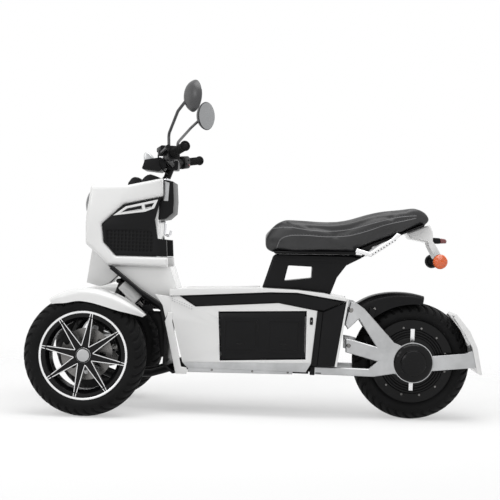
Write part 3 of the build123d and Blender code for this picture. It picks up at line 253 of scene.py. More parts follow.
def outward_mesh(name, points, faces):
    """A mesh from its points and faces, with the faces turned outward."""
    mesh = bpy.data.meshes.new(name)
    mesh.from_pydata([tuple(p) for p in points], [], faces)
    edit = bmesh.new()
    edit.from_mesh(mesh)
    bmesh.ops.recalc_face_normals(edit, faces=edit.faces)
    edit.to_mesh(mesh)
    edit.free()
    return mesh


def mesh_piece(name, points, faces, slot, body, angle=40.0):
    """A piece from its points and faces."""
    return shaded(link(name, outward_mesh(name, points, faces), slot, body), angle)


def join(name, chunks, slot, body="chassis", angle=40.0):
    """One piece from several lists of points and faces."""
    points = []
    faces = []
    for chunk_points, chunk_faces in chunks:
        start = len(points)
        points += chunk_points
        faces += [[start + i for i in face] for face in chunk_faces]
    return mesh_piece(name, points, faces, slot, body, angle)


def basis(direction):
    """Two unit vectors square to a direction."""
    w = Vector(direction).normalized()
    u = w.cross(Vector((0, 0, 1)) if abs(w.z) < 0.9 else Vector((1, 0, 0))).normalized()
    return u, w.cross(u), w


def lathe(section, centre, direction, steps=64):
    """A turned form. The section gives radius and height, as a closed loop or from axis to axis."""
    u, v, w = basis(direction)
    centre = Vector(centre)
    points = []
    rows = []
    for r, h in section:
        if r == 0:
            rows.append([len(points)])
            points.append(centre + w * h)
            continue
        rows.append(list(range(len(points), len(points) + steps)))
        for k in range(steps):
            a = 2 * math.pi * k / steps
            points.append(centre + (u * math.cos(a) + v * math.sin(a)) * r + w * h)
    closed = section[0][0] != 0
    faces = []
    for i in range(len(rows) if closed else len(rows) - 1):
        low, high = rows[i], rows[(i + 1) % len(rows)]
        for k in range(steps):
            n = (k + 1) % steps
            if len(low) == 1:
                faces.append([low[0], high[n], high[k]])
            elif len(high) == 1:
                faces.append([low[k], low[n], high[0]])
            else:
                faces.append([low[k], low[n], high[n], high[k]])
    return points, faces


def plate(outline, near, far):
    """A flat form with a side-view outline, between two distances from the centre plane."""
    n = len(outline)
    points = [Vector((x, near, z)) for x, z in outline] + [Vector((x, far, z)) for x, z in outline]
    faces = [list(range(n)), list(range(n, 2 * n))[::-1]]
    faces += [[k, (k + 1) % n, n + (k + 1) % n, n + k] for k in range(n)]
    return points, faces


def pipe(route, radius, sides=12):
    """A round tube through the points; radius may be a list with one value for each point."""
    route = [Vector(p) for p in route]
    radii = radius if isinstance(radius, list) else [radius] * len(route)
    points = []
    across = basis(route[1] - route[0])[0]
    for i, spot in enumerate(route):
        along = (route[min(i + 1, len(route) - 1)] - route[max(i - 1, 0)]).normalized()
        across = (across - along * across.dot(along)).normalized()
        up = along.cross(across)
        for k in range(sides):
            a = 2 * math.pi * k / sides
            points.append(spot + (across * math.cos(a) + up * math.sin(a)) * radii[i])
    faces = [list(range(sides))[::-1], list(range(len(points) - sides, len(points)))]
    for i in range(len(route) - 1):
        for k in range(sides):
            n = (k + 1) % sides
            faces.append([i * sides + k, i * sides + n, (i + 1) * sides + n, (i + 1) * sides + k])
    return points, faces


def ribbon(route, normal, width, height):
    """A flat bar along a route, standing out along the normal."""
    route = [Vector(p) for p in route]
    normal = Vector(normal)
    points = []
    for i, spot in enumerate(route):
        before = (spot - route[i - 1]).normalized() if i else (route[1] - spot).normalized()
        after = (route[i + 1] - spot).normalized() if i + 1 < len(route) else before
        across = (before + after).normalized().cross(normal).normalized()
        reach = 0.5 * width / max(0.35, across.dot(before.cross(normal).normalized()))
        for out, h in ((-1, 0), (-0.75, 1), (0.75, 1), (1, 0)):
            points.append(spot + across * reach * out + normal * height * h)
    faces = [[3, 2, 1, 0], [len(points) - 4 + k for k in range(4)]]
    for i in range(len(route) - 1):
        for k in range(4):
            n = (k + 1) % 4
            faces.append([4 * i + k, 4 * i + n, 4 * i + 4 + n, 4 * i + 4 + k])
    return points, faces


HEAD_SINK = 0.0005


def dome(radius, height):
    """Section of a low round head that sits on a face."""
    crown = [(0, height), (0.5 * radius, 0.92 * height), (0.85 * radius, 0.6 * height)]
    return crown + [(radius, 0), (0, -HEAD_SINK)]


def side(x, z):
    """A side-view place in millimetres behind the front axle and above the ground."""
    return FRONT_X + x / 1000, z / 1000


def place(x, y, z):
    """A place in millimetres: behind the front axle, to the rider's right, above the ground."""
    return Vector((FRONT_X + x / 1000, y / 1000, z / 1000))


# Tyres with a cut tread

def arc(a, b, c, count):
    """Points from a to c on the circle through a, b and c."""
    (ax, ay), (bx, by), (cx, cy) = a, b, c
    d = 2 * (ax * (by - cy) + bx * (cy - ay) + cx * (ay - by))
    sa, sb, sc = ax * ax + ay * ay, bx * bx + by * by, cx * cx + cy * cy
    ox = (sa * (by - cy) + sb * (cy - ay) + sc * (ay - by)) / d
    oy = (sa * (cx - bx) + sb * (ax - cx) + sc * (bx - ax)) / d
    r = math.hypot(ax - ox, ay - oy)
    start = math.atan2(ay - oy, ax - ox)
    sweep = math.atan2(cy - oy, cx - ox) - start
    middle = math.atan2(by - oy, bx - ox) - start
    for turn in (2 * math.pi, -2 * math.pi):
        if not (min(0, sweep) <= middle <= max(0, sweep)):
            if min(0, sweep + turn) <= middle <= max(0, sweep + turn):
                sweep += turn
    return [(ox + r * math.cos(start + sweep * k / count), oy + r * math.sin(start + sweep * k / count))
            for k in range(count + 1)]


def step(value, low, high):
    """Rises smoothly from 0 at low to 1 at high."""
    t = min(max((value - low) / (high - low), 0), 1)
    return t * t * (3 - 2 * t)


PITCHES = 38
TREAD_STEPS = PITCHES * 18
GROOVE = 0.0058
BEAD_R = 0.1524
BEAD_TOP_R = 0.1669
BEAD_Y = 0.0447
WALL_R, WALL_Y = 0.1919, 0.0600
SHOULDER_R, SHOULDER_Y = 0.2144, 0.0500
SECTION_R = 0.178
TREAD_FROM = 0.197
WALL_RINGS = (0.1745, 0.1935)
RING_DEPTH = 0.0008


def groove(turn, y):
    """Depth of the tread's grooves at a turn of the wheel and a distance from its middle."""
    out = abs(y)
    slant = turn * PITCHES + (0.5 if y > 0 else 0) - 1.15 * step(out, 0.006, 0.06)
    across = abs(slant % 1 - 0.5)
    slash = (1 - step(across, 0.10, 0.19)) * step(out, 0.007, 0.012) * (1 - step(out, 0.0565, 0.060))
    zigzag = 0.003 * math.sin(2 * math.pi * PITCHES * turn)
    middle = 1 - step(abs(y - zigzag), 0.0012, 0.0032)
    return GROOVE * max(slash, 0.8 * middle)


def tyre(name, centre, body):
    """A tyre whose blocks and wall ribs are cut into its outline."""
    low = arc((BEAD_TOP_R, -BEAD_Y), (WALL_R, -WALL_Y), (SHOULDER_R, -SHOULDER_Y), 14)
    crown = arc((SHOULDER_R, -SHOULDER_Y), (TYRE_R, 0.0), (SHOULDER_R, SHOULDER_Y), 44)
    high = [(r, -y) for r, y in low[::-1]]
    outline = [(BEAD_R, -BEAD_Y)] + low + crown[1:-1] + high + [(BEAD_R, BEAD_Y)]
    points = []
    for k in range(TREAD_STEPS):
        turn = k / TREAD_STEPS
        a = 2 * math.pi * turn
        for r, y in outline:
            inward = Vector((SECTION_R - r, -y)).normalized()
            depth = groove(turn, y) if r > TREAD_FROM else 0
            for ring in WALL_RINGS:
                depth += RING_DEPTH * (1 - step(abs(r - ring), 0.0006, 0.0022))
            cut_r = r + inward[0] * depth
            spot = Vector((cut_r * math.sin(a), y + inward[1] * depth, cut_r * math.cos(a)))
            points.append(spot + Vector(centre))
    n = len(outline)
    faces = []
    for k in range(TREAD_STEPS):
        k2 = (k + 1) % TREAD_STEPS
        for i in range(n):
            j = (i + 1) % n
            faces.append([k * n + i, k * n + j, k2 * n + j, k2 * n + i])
    return mesh_piece(name, points, faces, "tyre", body, 50)


for hand, s in HANDS:
    front_tyre = tyre(f"tread_front_{hand}", (FRONT_X, s * FRONT_Y, TYRE_R), f"wheel_front_{hand}")
    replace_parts(front_tyre, f"front_tyre_{hand}")
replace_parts(tyre("tread_rear", (REAR_X, 0, TYRE_R), "wheel_rear"), "rear_tyre")


# Front wheels: machined rim, spoke edges and cap

SPOKE_ROOT = 0.0185
SPOKE_SLOPE = math.tan(math.radians(90 - 85.4))
EDGE_IN = 0.0018
EDGE_W = 0.0034
SPOKE_FACE = 0.046
RIM_FACE = 0.050
SPOKES = 8
FIRST_SPOKE = 80
SPOKE_LINE = (
    (0.1622, RIM_FACE), (0.1475, RIM_FACE), (0.1455, SPOKE_FACE), (0.09, SPOKE_FACE), (0.037, SPOKE_FACE),
)
EDGE_SINK = 0.0003
RIM_RING = (
    (0.1612, 0.0497), (0.1616, 0.0510), (0.1625, 0.0515), (0.1690, 0.0515), (0.1699, 0.0508),
    (0.1700, 0.0501),
)
HUB_CAP = (
    (0, 0.0524), (0.012, 0.0522), (0.021, 0.0516), (0.0265, 0.0504), (0.0290, 0.0486), (0.0298, 0.0459),
    (0, 0.0459),
)


def face_point(centre, s, angle, r, out, sideways=0.0):
    """A point on a wheel's outer face, by angle from rearward toward up."""
    a = math.radians(angle)
    b = a + math.pi / 2
    u = r * math.cos(a) + sideways * math.cos(b)
    v = r * math.sin(a) + sideways * math.sin(b)
    return Vector(centre) + Vector((u, s * out, v))


for hand, s in HANDS:
    centre = (FRONT_X, s * FRONT_Y, TYRE_R)
    wheel_body = f"wheel_front_{hand}"
    bright = []
    for k in range(SPOKES):
        bisector = FIRST_SPOKE + 360 / SPOKES * (k + 0.5)
        edge = []
        for turn in (-1, 1):
            spoke = bisector + turn * 180 / SPOKES
            stretch = []
            for r, out in SPOKE_LINE:
                half = SPOKE_ROOT - SPOKE_SLOPE * r - EDGE_IN
                stretch.append(face_point(centre, s, spoke, r, out - EDGE_SINK, -turn * half))
            edge.append(stretch)
        apex = face_point(centre, s, bisector, 0.0385, SPOKE_FACE - EDGE_SINK)
        bright.append(ribbon(edge[0] + [apex] + edge[1][::-1], (0, s, 0), EDGE_W, 0.0011))
    bright.append(lathe(RIM_RING, centre, (0, s, 0), 160))
    rim_trim = join(f"rim_trim_{hand}", bright, "silver_metal", wheel_body, 30)
    repaint(rim_trim, bright_silver)
    join(f"hub_cap_{hand}", [lathe(HUB_CAP, centre, (0, s, 0), 64)], "silver_metal", wheel_body, 50)
    valve = face_point(centre, s, FIRST_SPOKE + 180 / SPOKES, 0.139, 0.030)
    valve_tip = face_point(centre, s, FIRST_SPOKE + 180 / SPOKES, 0.118, 0.046)
    join(f"valve_{hand}", [pipe([valve, valve_tip], [0.0042, 0.0034])], "grip_rubber", wheel_body)

# Hub motor: cover bolts and the two bare strips beside the hub

MOTOR_FACE = 0.0508
BOLT_RING_R = 0.138
BOLT_HEAD = ((0, 0.0040), (0.0022, 0.0040), (0.0040, 0.0034), (0.0048, 0.0), (0, -HEAD_SINK))
STRIP_HALF = 0.008
STRIP_NEAR, STRIP_FAR = 0.0505, 0.0612
motor_bits = []
strips = []
for s in SIDES:
    for k in range(12):
        spot = face_point((REAR_X, 0, TYRE_R), s, 15 + 30 * k, BOLT_RING_R, MOTOR_FACE)
        motor_bits.append(lathe(BOLT_HEAD, spot, (0, s, 0), 12))
    for near, far in ((-0.0785, -0.116), (0.0785, 0.131)):
        low, high = sorted((TYRE_R + near, TYRE_R + far))
        front, back = REAR_X - STRIP_HALF, REAR_X + STRIP_HALF
        strip = [(front, low), (back, low), (back, high), (front, high)]
        strips.append(plate(strip, s * STRIP_NEAR, s * STRIP_FAR))
join("motor_bolts", motor_bits, "steel", "wheel_rear")
motor_strips = bevelled(join("motor_strips", strips, "silver_metal", "wheel_rear"), 0.0004, 2)
repaint(motor_strips, bright_silver)

# Steering frame: up along the column, back square to it, and a point at a level on it

RAKE = math.radians(20)
UP = Vector((math.sin(RAKE), 0, math.cos(RAKE)))
BACK = Vector((math.cos(RAKE), 0, -math.sin(RAKE)))


def steer(level, back=0.0, y=0.0):
    """A point at a level in millimetres up the steering axis, behind it and to the rider's right."""
    return Vector((FRONT_X, y / 1000, TYRE_R)) + UP * level / 1000 + BACK * back / 1000


def cut_away(piece, points, faces):
    """Cuts a closed form out of a piece."""
    cutter = bpy.data.objects.new("cutter", outward_mesh("cutter", points, faces))
    bpy.context.scene.collection.objects.link(cutter)
    step_out = piece.modifiers.new("cut", "BOOLEAN")
    step_out.operation = "DIFFERENCE"
    step_out.solver = "EXACT"
    step_out.object = cutter
    baked(piece)
    bpy.data.objects.remove(cutter)
    return piece


def slab(outline, near, far):
    """A plate from a side-view outline in millimetres, between two distances to the rider's right."""
    return plate([side(x, z) for x, z in outline], near / 1000, far / 1000)


def both(outline, near, far):
    """The same plate on the rider's left and right."""
    return [slab(outline, s * near, s * far) for s in SIDES]


def knob(x, y, z, direction, radius, height, steps=16):
    """A low round head at a place in millimetres."""
    return lathe(dome(radius / 1000, height / 1000), place(x, y, z), direction, steps)


# Dash: instrument wedge, saddle round the column and the column shroud

COLUMN_HOLE = 0.029
wedge = [(103, 901), (105, 915), (118, 935), (131, 941), (147, 938), (160, 929), (163, 901)]
saddle = [
    (163.6, 901), (164, 930), (172, 940), (184, 949), (197, 952), (212, 948), (226, 943), (238, 938),
    (238, 901),
]
shroud = [(240.3, 934), (293, 924), (299, 848), (297, 798), (271, 774), (240.3, 768)]
column = pipe([steer(560), steer(820)], COLUMN_HOLE, 48)
bevelled(join("instrument_wedge", [slab(wedge, -52, 52)], "black_plastic"), 0.006)
saddle_piece = join("column_saddle", [slab(saddle, -62, 62)], "black_plastic")
bevelled(cut_away(saddle_piece, *column), 0.007)
shroud_piece = join("column_shroud", [slab(shroud, -96, 96)], "black_plastic")
bevelled(cut_away(shroud_piece, *column), 0.012, 4)
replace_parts(shroud_piece, "dash_panels")
strips = both([(257, 845), (276, 845), (279, 919), (259, 924)], 94.5, 97.2)
bevelled(join("shroud_strips", strips, "silver_metal"), 0.0008, 2)

# Headlamp: bezel, reflector, projector and a clear dome

LAMP_AT = place(-41.5, 0, 832)
LAMP_WAY = Vector((-129, 0, 17))
housing = [
    (0, 0.0003), (0.066, 0.0003), (0.066, 0.0066), (0.0652, 0.0076), (0.0632, 0.0080), (0.0618, 0.0070),
    (0.0600, 0.0040), (0.0560, 0.0024), (0, 0.0018),
]
rim_ring = [(0.0662, 0.0003), (0.0680, 0.0003), (0.0682, 0.0070), (0.0672, 0.0084), (0.0662, 0.0080)]
bowl = [
    (0.0335, 0.0030), (0.0440, 0.0050), (0.0545, 0.0095), (0.0575, 0.0120), (0.0590, 0.0112),
    (0.0560, 0.0030),
]
eye = [
    (0, 0.0240), (0.0070, 0.0232), (0.0130, 0.0205), (0.0175, 0.0160), (0.0200, 0.0100), (0.0205, 0.0025),
    (0, 0.0020),
]
collar = [(0.0215, 0.0022), (0.0215, 0.0110), (0.0235, 0.0125), (0.0300, 0.0100), (0.0320, 0.0030)]


def lamp_part(name, section, slot, steps=96, angle=40.0):
    """A turned piece on the headlamp's axis."""
    return join(name, [lathe(section, LAMP_AT, LAMP_WAY, steps)], slot, angle=angle)


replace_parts(lamp_part("headlamp_case", housing, "black_plastic"), "headlamp")
lamp_part("headlamp_ring", rim_ring, "steel")
lamp_part("headlamp_reflector", bowl, "chrome")
lamp_part("headlamp_projector", eye, "lamp_glass", 64)
lamp_part("headlamp_collar", collar, "black_metal", 64)
LENS_R = 0.0615
LENS_RISE = 0.0225
LENS_BASE = 0.0072
LENS_WALL = 0.0018
lens_round = (LENS_R ** 2 + LENS_RISE ** 2) / (2 * LENS_RISE)
lens_turn = math.asin(LENS_R / lens_round)
lens = []
for thick, order in ((0.0, 1), (LENS_WALL, -1)):
    shell = []
    for k in range(13):
        a = lens_turn * k / 12
        r = (lens_round - thick) * math.sin(a)
        shell.append((r, LENS_BASE + LENS_RISE - lens_round + (lens_round - thick) * math.cos(a)))
    lens += shell[::order]
repaint(lamp_part("headlamp_lens", lens, "lamp_glass", angle=60), clear_lens)

# Running lamps: dark windows in their white frames, with a light guide in each

WINDOWS = (
    [(93.5, 790.8), (118.6, 807.6), (174.6, 821.2), (178.0, 805.8)],
    [(187.8, 825.2), (224.6, 833.2), (213.6, 815.6), (191.0, 808.6)],
)
GUIDES = (
    [(98, 792.2), (176.4, 808.6), (177.0, 806.6), (99, 790.6)],
    [(190.6, 812.4), (213.0, 818.6), (214.2, 816.4), (191.2, 810.0)],
)
dark = []
guides = []
for window, guide in zip(WINDOWS, GUIDES):
    dark += both(window, 135.1, 136.6)
    guides += both(guide, 136.5, 138.2)
bevelled(join("lamp_windows", dark, "wheel_black"), 0.0005, 2)
bevelled(join("lamp_guides", guides, "white_paint"), 0.0003, 2)
lamp_frames = soften("marker_lamps", 0.0008)
repaint(lamp_frames, mats["white_paint"])


# Dampers: white cans in front, springs on a rod behind

def can(start, end, radius):
    """A closed can between two points, with rounded rims."""
    way = Vector(end) - Vector(start)
    length = way.length
    edge = 0.0025
    section = [(0, 0), (radius - edge, 0), (radius, edge)]
    section += [(radius, length - edge), (radius - edge, length), (0, length)]
    return lathe(section, start, way, 48)


def coil(start, end, radius, wire, turns):
    """A spring between two points."""
    u, v, w = basis(Vector(end) - Vector(start))
    length = (Vector(end) - Vector(start)).length
    count = turns * 20
    route = []
    for k in range(count + 1):
        a = 2 * math.pi * turns * k / count
        route.append(Vector(start) + (u * math.cos(a) + v * math.sin(a)) * radius + w * length * k / count)
    return pipe(route, wire, 10)


ROD_R = 0.009
cans = []
rods = []
caps = []
springs = []
for s in SIDES:
    bar, foot = place(86, s * 72, 517), place(196, s * 72, 414)
    way = (foot - bar).normalized()
    rods.append(can(bar + way * 0.0093, foot - way * 0.0093, ROD_R))
    cans.append(can(bar + way * 0.0200, foot - way * 0.0400, 0.024))
    caps.append(can(bar + way * 0.0125, bar + way * 0.0197, 0.021))
    caps.append(can(foot - way * 0.0397, foot - way * 0.0330, 0.019))
    shock_low, shock_high = place(1022, s * 70, 436), place(888, s * 70, 415)
    way = (shock_high - shock_low).normalized()
    rods.append(can(shock_low + way * 0.0123, shock_high - way * 0.0123, ROD_R))
    for along in (0.0200, 0.1080):
        caps.append(can(shock_low + way * along, shock_low + way * (along + 0.005), 0.020))
    springs.append(coil(shock_low + way * 0.0285, shock_low + way * 0.1045, 0.0158, 0.0032, 7))
damper_cans = join("damper_cans", cans, "white_paint")
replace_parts(damper_cans, "dampers")
join("damper_rods", rods, "steel")
join("damper_caps", caps, "black_metal")
join("rear_springs", springs, "steel")


# Fenders: the gutter section rounded and carried smoothly round the wheel

def between(stations, angle):
    """The fender's radius, half width and drop at an angle, on a smooth curve through the stations."""
    k = max(i for i in range(len(stations) - 1) if stations[i][0] <= angle + 1e-9)
    rows = [stations[max(k - 1, 0)], stations[k], stations[k + 1], stations[min(k + 2, len(stations) - 1)]]
    span = rows[2][0] - rows[1][0]
    t = (angle - rows[1][0]) / span
    found = []
    for c in (1, 2, 3):
        start = (rows[2][c] - rows[0][c]) / max(rows[2][0] - rows[0][0], 1e-9) * span
        stop = (rows[3][c] - rows[1][c]) / max(rows[3][0] - rows[1][0], 1e-9) * span
        blend = rows[1][c] * (2 * t ** 3 - 3 * t ** 2 + 1) + start * (t ** 3 - 2 * t ** 2 + t)
        found.append(blend + rows[2][c] * (3 * t ** 2 - 2 * t ** 3) + stop * (t ** 3 - t ** 2))
    return found


def rounded(corners, radius, count=5):
    """The corners of an open line, each replaced by a short curve."""
    made = [corners[0]]
    for before, corner, after in zip(corners, corners[1:], corners[2:]):
        a, c, b = Vector(before), Vector(corner), Vector(after)
        r = min(radius, 0.45 * (a - c).length, 0.45 * (b - c).length)
        p, q = c + (a - c).normalized() * r, c + (b - c).normalized() * r
        for k in range(count + 1):
            t = k / count
            made.append(tuple(p * (1 - t) ** 2 + c * 2 * t * (1 - t) + q * t ** 2))
    return made + [corners[-1]]


FENDER_SKIN = 4.6
FENDER_STEP = 1.5
FENDER_ROUND = 10.0


def fender_skin(name, centre, stations, body, slot):
    """A fender swept round a wheel. Stations give angle behind up, radius past the tyre, half width, drop."""
    skin = FENDER_SKIN
    points = []
    first, last = stations[0][0], stations[-1][0]
    steps = int((last - first) / FENDER_STEP)
    for k in range(steps + 1):
        angle = first + (last - first) * k / steps
        over, half, drop = between(stations, min(angle, last - 1e-6))
        half = min(half, max(row[2] for row in stations))
        r = TYRE_R * 1000 + over
        lean, fall = 0.3 * half, 0.28 * drop
        line = [(r - drop, -half), (r - fall, -half), (r, -half + lean)]
        line += [(r, half - lean), (r - fall, half), (r - drop, half)]
        outside = rounded(line, FENDER_ROUND)
        lip = 0.3 * skin
        inside = [(x - skin if abs(y) < half - skin else x, y * (half - skin) / half) for x, y in outside]
        inside[0] = (outside[0][0] + lip, inside[0][1])
        inside[-1] = (outside[-1][0] + lip, inside[-1][1])
        a = math.radians(angle)
        up = Vector((math.sin(a), 0, math.cos(a)))
        for x, y in outside + inside[::-1]:
            points.append(Vector(centre) + up * x / 1000 + Vector((0, y / 1000, 0)))
    n = len(points) // (steps + 1)
    faces = [list(range(n))[::-1], list(range(len(points) - n, len(points)))]
    for k in range(steps):
        for i in range(n):
            j = (i + 1) % n
            faces.append([k * n + i, k * n + j, (k + 1) * n + j, (k + 1) * n + i])
    return mesh_piece(name, points, faces, slot, body, 35)


FRONT_STATIONS = (
    (-33, 16, 60, 24), (-20, 18, 72, 44), (-6, 20, 72, 48), (8, 22, 72, 54),
    (22, 23, 72, 54), (36, 27, 66, 46), (47, 35, 50, 30), (55, 43, 22, 14),
)
for hand, s in HANDS:
    axle = (FRONT_X, s * FRONT_Y, TYRE_R)
    fender = fender_skin(f"fender_{hand}", axle, FRONT_STATIONS, f"knuckle_{hand}", "white_paint")
    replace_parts(fender, f"front_fender_{hand}")

REAR_STATIONS = (
    (-47, 84, 71, 88), (-34, 71, 71, 78), (-22, 56, 71, 64),
    (-10, 43, 71, 51), (2, 34, 71, 40), (9, 30, 71, 34),
)
hugger = fender_skin("fender_rear", (REAR_X, 0, TYRE_R), REAR_STATIONS, "chassis", "black_plastic")
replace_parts(hugger, "rear_fender")
lugs = both([(1092, 400), (1110, 385), (1122, 440), (1098, 448)], 67, 92.7)
bevelled(join("fender_lugs", lugs, "black_plastic"), 0.002)

# Bodywork details on the rider's left and right

front_outline = [(243, 472.6), (304, 465.6), (312, 399), (299.6, 402.4), (289, 379), (275.6, 430)]
bevelled(join("panel_fronts", both(front_outline, 153.4, 160), "white_paint"), 0.002)
liner_outline = [(203, 394), (258, 394), (279, 335), (279, 215), (262, 215), (246, 330)]
bevelled(join("arch_liner", both(liner_outline, 51, 54.5), "black_plastic"), 0.001, 2)

# Each square's front top, rear top, rear bottom and front bottom corner, with the rib inside it
SQUARES = (
    [(520, 385), (657, 388), (657, 258), (520, 253)],
    [(694, 391), (826, 393), (826, 262), (694, 259)],
)
DOOR_FACE = 162.9
RIB_IN = 9
rib_shifts = ((RIB_IN, -RIB_IN), (-RIB_IN, -RIB_IN), (-RIB_IN, RIB_IN), (RIB_IN, RIB_IN))
frames = {"battery_door": [], "chassis": []}
for body, s in (("battery_door", -1), ("chassis", 1)):
    for square in SQUARES:
        inner = [(x + in_x, z + in_z) for (x, z), (in_x, in_z) in zip(square, rib_shifts)]
        loop = [place(x, s * DOOR_FACE, z) for x, z in inner + inner[:1]]
        frames[body].append(ribbon(loop, (0, s, 0), 0.0034, 0.0016))
        catch_x = (square[0][0] + square[1][0]) / 2
        catch_z = square[2][1] + 32
        catch = [(catch_x + x, catch_z + z) for x, z in ((-17, -3), (17, -3), (13, 4), (-13, 4))]
        frames[body].append(slab(catch, s * DOOR_FACE, s * (DOOR_FACE + 1.7)))
join("door_ribs", frames["battery_door"], "wheel_black", "battery_door")
join("cover_ribs", frames["chassis"], "wheel_black")

STUDS = 9
STUD_FACE = 161.9
stud_line = (place(314, 0, 454), place(392, 0, 424))
studs = []
for s in SIDES:
    for row in (-4.5, 4.5):
        for k in range(STUDS):
            spot = stud_line[0].lerp(stud_line[1], k / (STUDS - 1))
            spot += Vector((0, s * STUD_FACE, row)) / 1000
            studs.append(lathe(dome(0.0022, 0.0012), spot, (0, s, 0), 12))
join("grip_studs", studs, "silver_metal")

key_outline = [(860, 377), (860, 401), (863, 404), (869, 404), (872, 401), (872, 377), (869, 374), (863, 374)]
bevelled(join("key_plate", [slab(key_outline, -159, -162.4)], "black_plastic"), 0.0012)
join("key_slot", [knob(866, -162.3, 389, (0, -1, 0), 3.4, 1.4)], "steel")

deck_ribs = []
for k in range(9):
    y = 30 * (k - 4)
    deck_ribs.append(slab([(352, 496.8), (652, 510.9), (652, 512.6), (352, 498.6)], y - 2.5, y + 2.5))
bevelled(join("deck_ribs", deck_ribs, "white_paint"), 0.0007, 2)

grab_dots = []
for s in SIDES:
    for k in range(9):
        grab_dots.append(knob(1098 + 10.6 * k, s * 153.9, 661.5 + 7.2 * k, (0, s, 0), 2.6, 1.2, 12))
join("grab_dots", grab_dots, "black_plastic")

ribs = []
for outline, y in (
    ([(718, 652.5), (1018, 659.5), (1018, 662.5), (716, 655.5)], 118),
    ([(712, 641), (1006, 642.5), (1012, 646.0), (713, 644.5)], 92),
    ([(707, 632), (998, 633.5), (1002, 637), (709, 635.5)], 92),
    ([(701, 617), (986, 618.5), (991, 624), (703, 622.5)], 92),
):
    ribs += both(outline, y - 0.5, y + 1.8)
bevelled(join("seat_frame_ribs", ribs, "black_plastic"), 0.0006, 2)

arm_caps = both([(867, 172), (887, 172), (887, 208), (867, 208)], 91.5, 117)
bevelled(join("arm_caps", arm_caps, "black_plastic"), 0.003)
arm_slots = both([(890, 179), (912, 179), (912, 183), (890, 183)], 114, 115.6)
join("arm_slots", arm_slots, "black_plastic")

bolts = []
for s in SIDES:
    for x, z, y, r in (
        (1119, 442, 71, 6.0), (1018, 295, 115, 9.0), (1022, 436, 115, 10.0), (366, 178.5, 160, 4.5),
        (480, 181, 158, 4.5), (640, 182, 158, 4.5), (780, 183, 158, 4.5), (876, 320, 65, 6.0),
    ):
        bolts.append(knob(x, s * y, z, (0, s, 0), r, 3.0, 18))
join("body_bolts", bolts, "steel")

# Lamps at the tail

SIGNAL_CASE = (
    (0, -0.010), (0.009, -0.010), (0.021, -0.003), (0.0275, 0.005), (0.0290, 0.013), (0.0290, 0.0150),
    (0, 0.0150),
)
LENS_TOP = 0.0298
LENS_FALL = 0.0065
signal_cases = []
signal_lenses = []
for s in SIDES:
    centre = place(1365, s * 120, 641)
    signal_cases.append(lathe(SIGNAL_CASE, centre, (0, s, 0), 64))
    signal_cases.append(pipe([place(1366, s * 72.3, 660), place(1366, s * 121, 660)], 0.007, 24))
    signal_cases.append(can(place(1365, s * 103, 641), place(1365, s * 112, 641), 0.0085))
    lens_rings = [(0, LENS_TOP)]
    for r in range(3, 25, 3):
        rise = LENS_TOP - LENS_FALL * (r / 27) ** 2
        lens_rings += [((r - 0.7) / 1000, rise), (r / 1000, rise + 0.0007), ((r + 0.7) / 1000, rise)]
    lens_rings += [(0.0268, 0.0222), (0.0286, 0.0190), (0.0286, 0.0151), (0, 0.0151)]
    signal_lenses.append(lathe(lens_rings, centre, (0, s, 0), 64))
signal_case = join("signal_cases", signal_cases, "black_plastic")
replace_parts(signal_case, "rear_signals")
join("signal_lenses", signal_lenses, "amber_lens", angle=25)
case_outline = [(1342.6, 714), (1342.6, 737), (1374, 736), (1376, 713)]
lens_outline = [(1376.2, 713.6), (1374.2, 735.4), (1394, 733), (1400, 726), (1397, 716)]
rib_outline = [(1395.5, 715.2), (1399.4, 716.2), (1401.6, 726), (1395.5, 733)]
tail_case = join("tail_lamp_case", [slab(case_outline, -42, 42)], "black_plastic")
bevelled(tail_case, 0.004)
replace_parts(tail_case, "tail_lamp")
bevelled(join("tail_lamp_lens", [slab(lens_outline, -41, 41)], "red_lens"), 0.004)
lens_lines = [slab(rib_outline, y - 0.6, y + 0.6) for y in range(-32, 33, 8)]
join("tail_lamp_ribs", lens_lines, "red_lens")

# Handlebar: ribbed grips, screen, a silver hood painted as a highlight, riser sleeve, switch buttons

GRIP_LENGTH = 0.118
RIB_PITCH = 0.0039
GRIP_RIBS = 26
GRIP_END = (0.0792, 0.345, 0.0525)
BAR_BEND = (-0.0198, 0.142, 0.0195)
BUTTONS = (
    ("black_plastic", 0.010, 0.010, 0.0048),
    ("black_plastic", -0.004, -0.009, 0.0060),
    ("red_lens", -0.012, 0.011, 0.0045),
)
grip_section = [(0.0112, -GRIP_LENGTH), (0.0198, -GRIP_LENGTH)]
grip_section += [(0.0200, -0.1165), (0.0200, -0.1135), (0.0190, -0.1120)]
for k in range(GRIP_RIBS):
    h = -0.1095 + RIB_PITCH * k
    grip_section += [(0.0158, h), (0.0158, h + 0.0010), (0.0170, h + 0.0016), (0.0170, h + 0.0030)]
grip_section += [(0.0170, -0.0070), (0.0198, -0.0060), (0.0200, -0.0045), (0.0200, -0.0015), (0.0192, 0.0)]
grip_section += [(0.0168, 0.0004), (0.0168, 0.0034), (0.0160, 0.0040), (0.0112, 0.0040)]

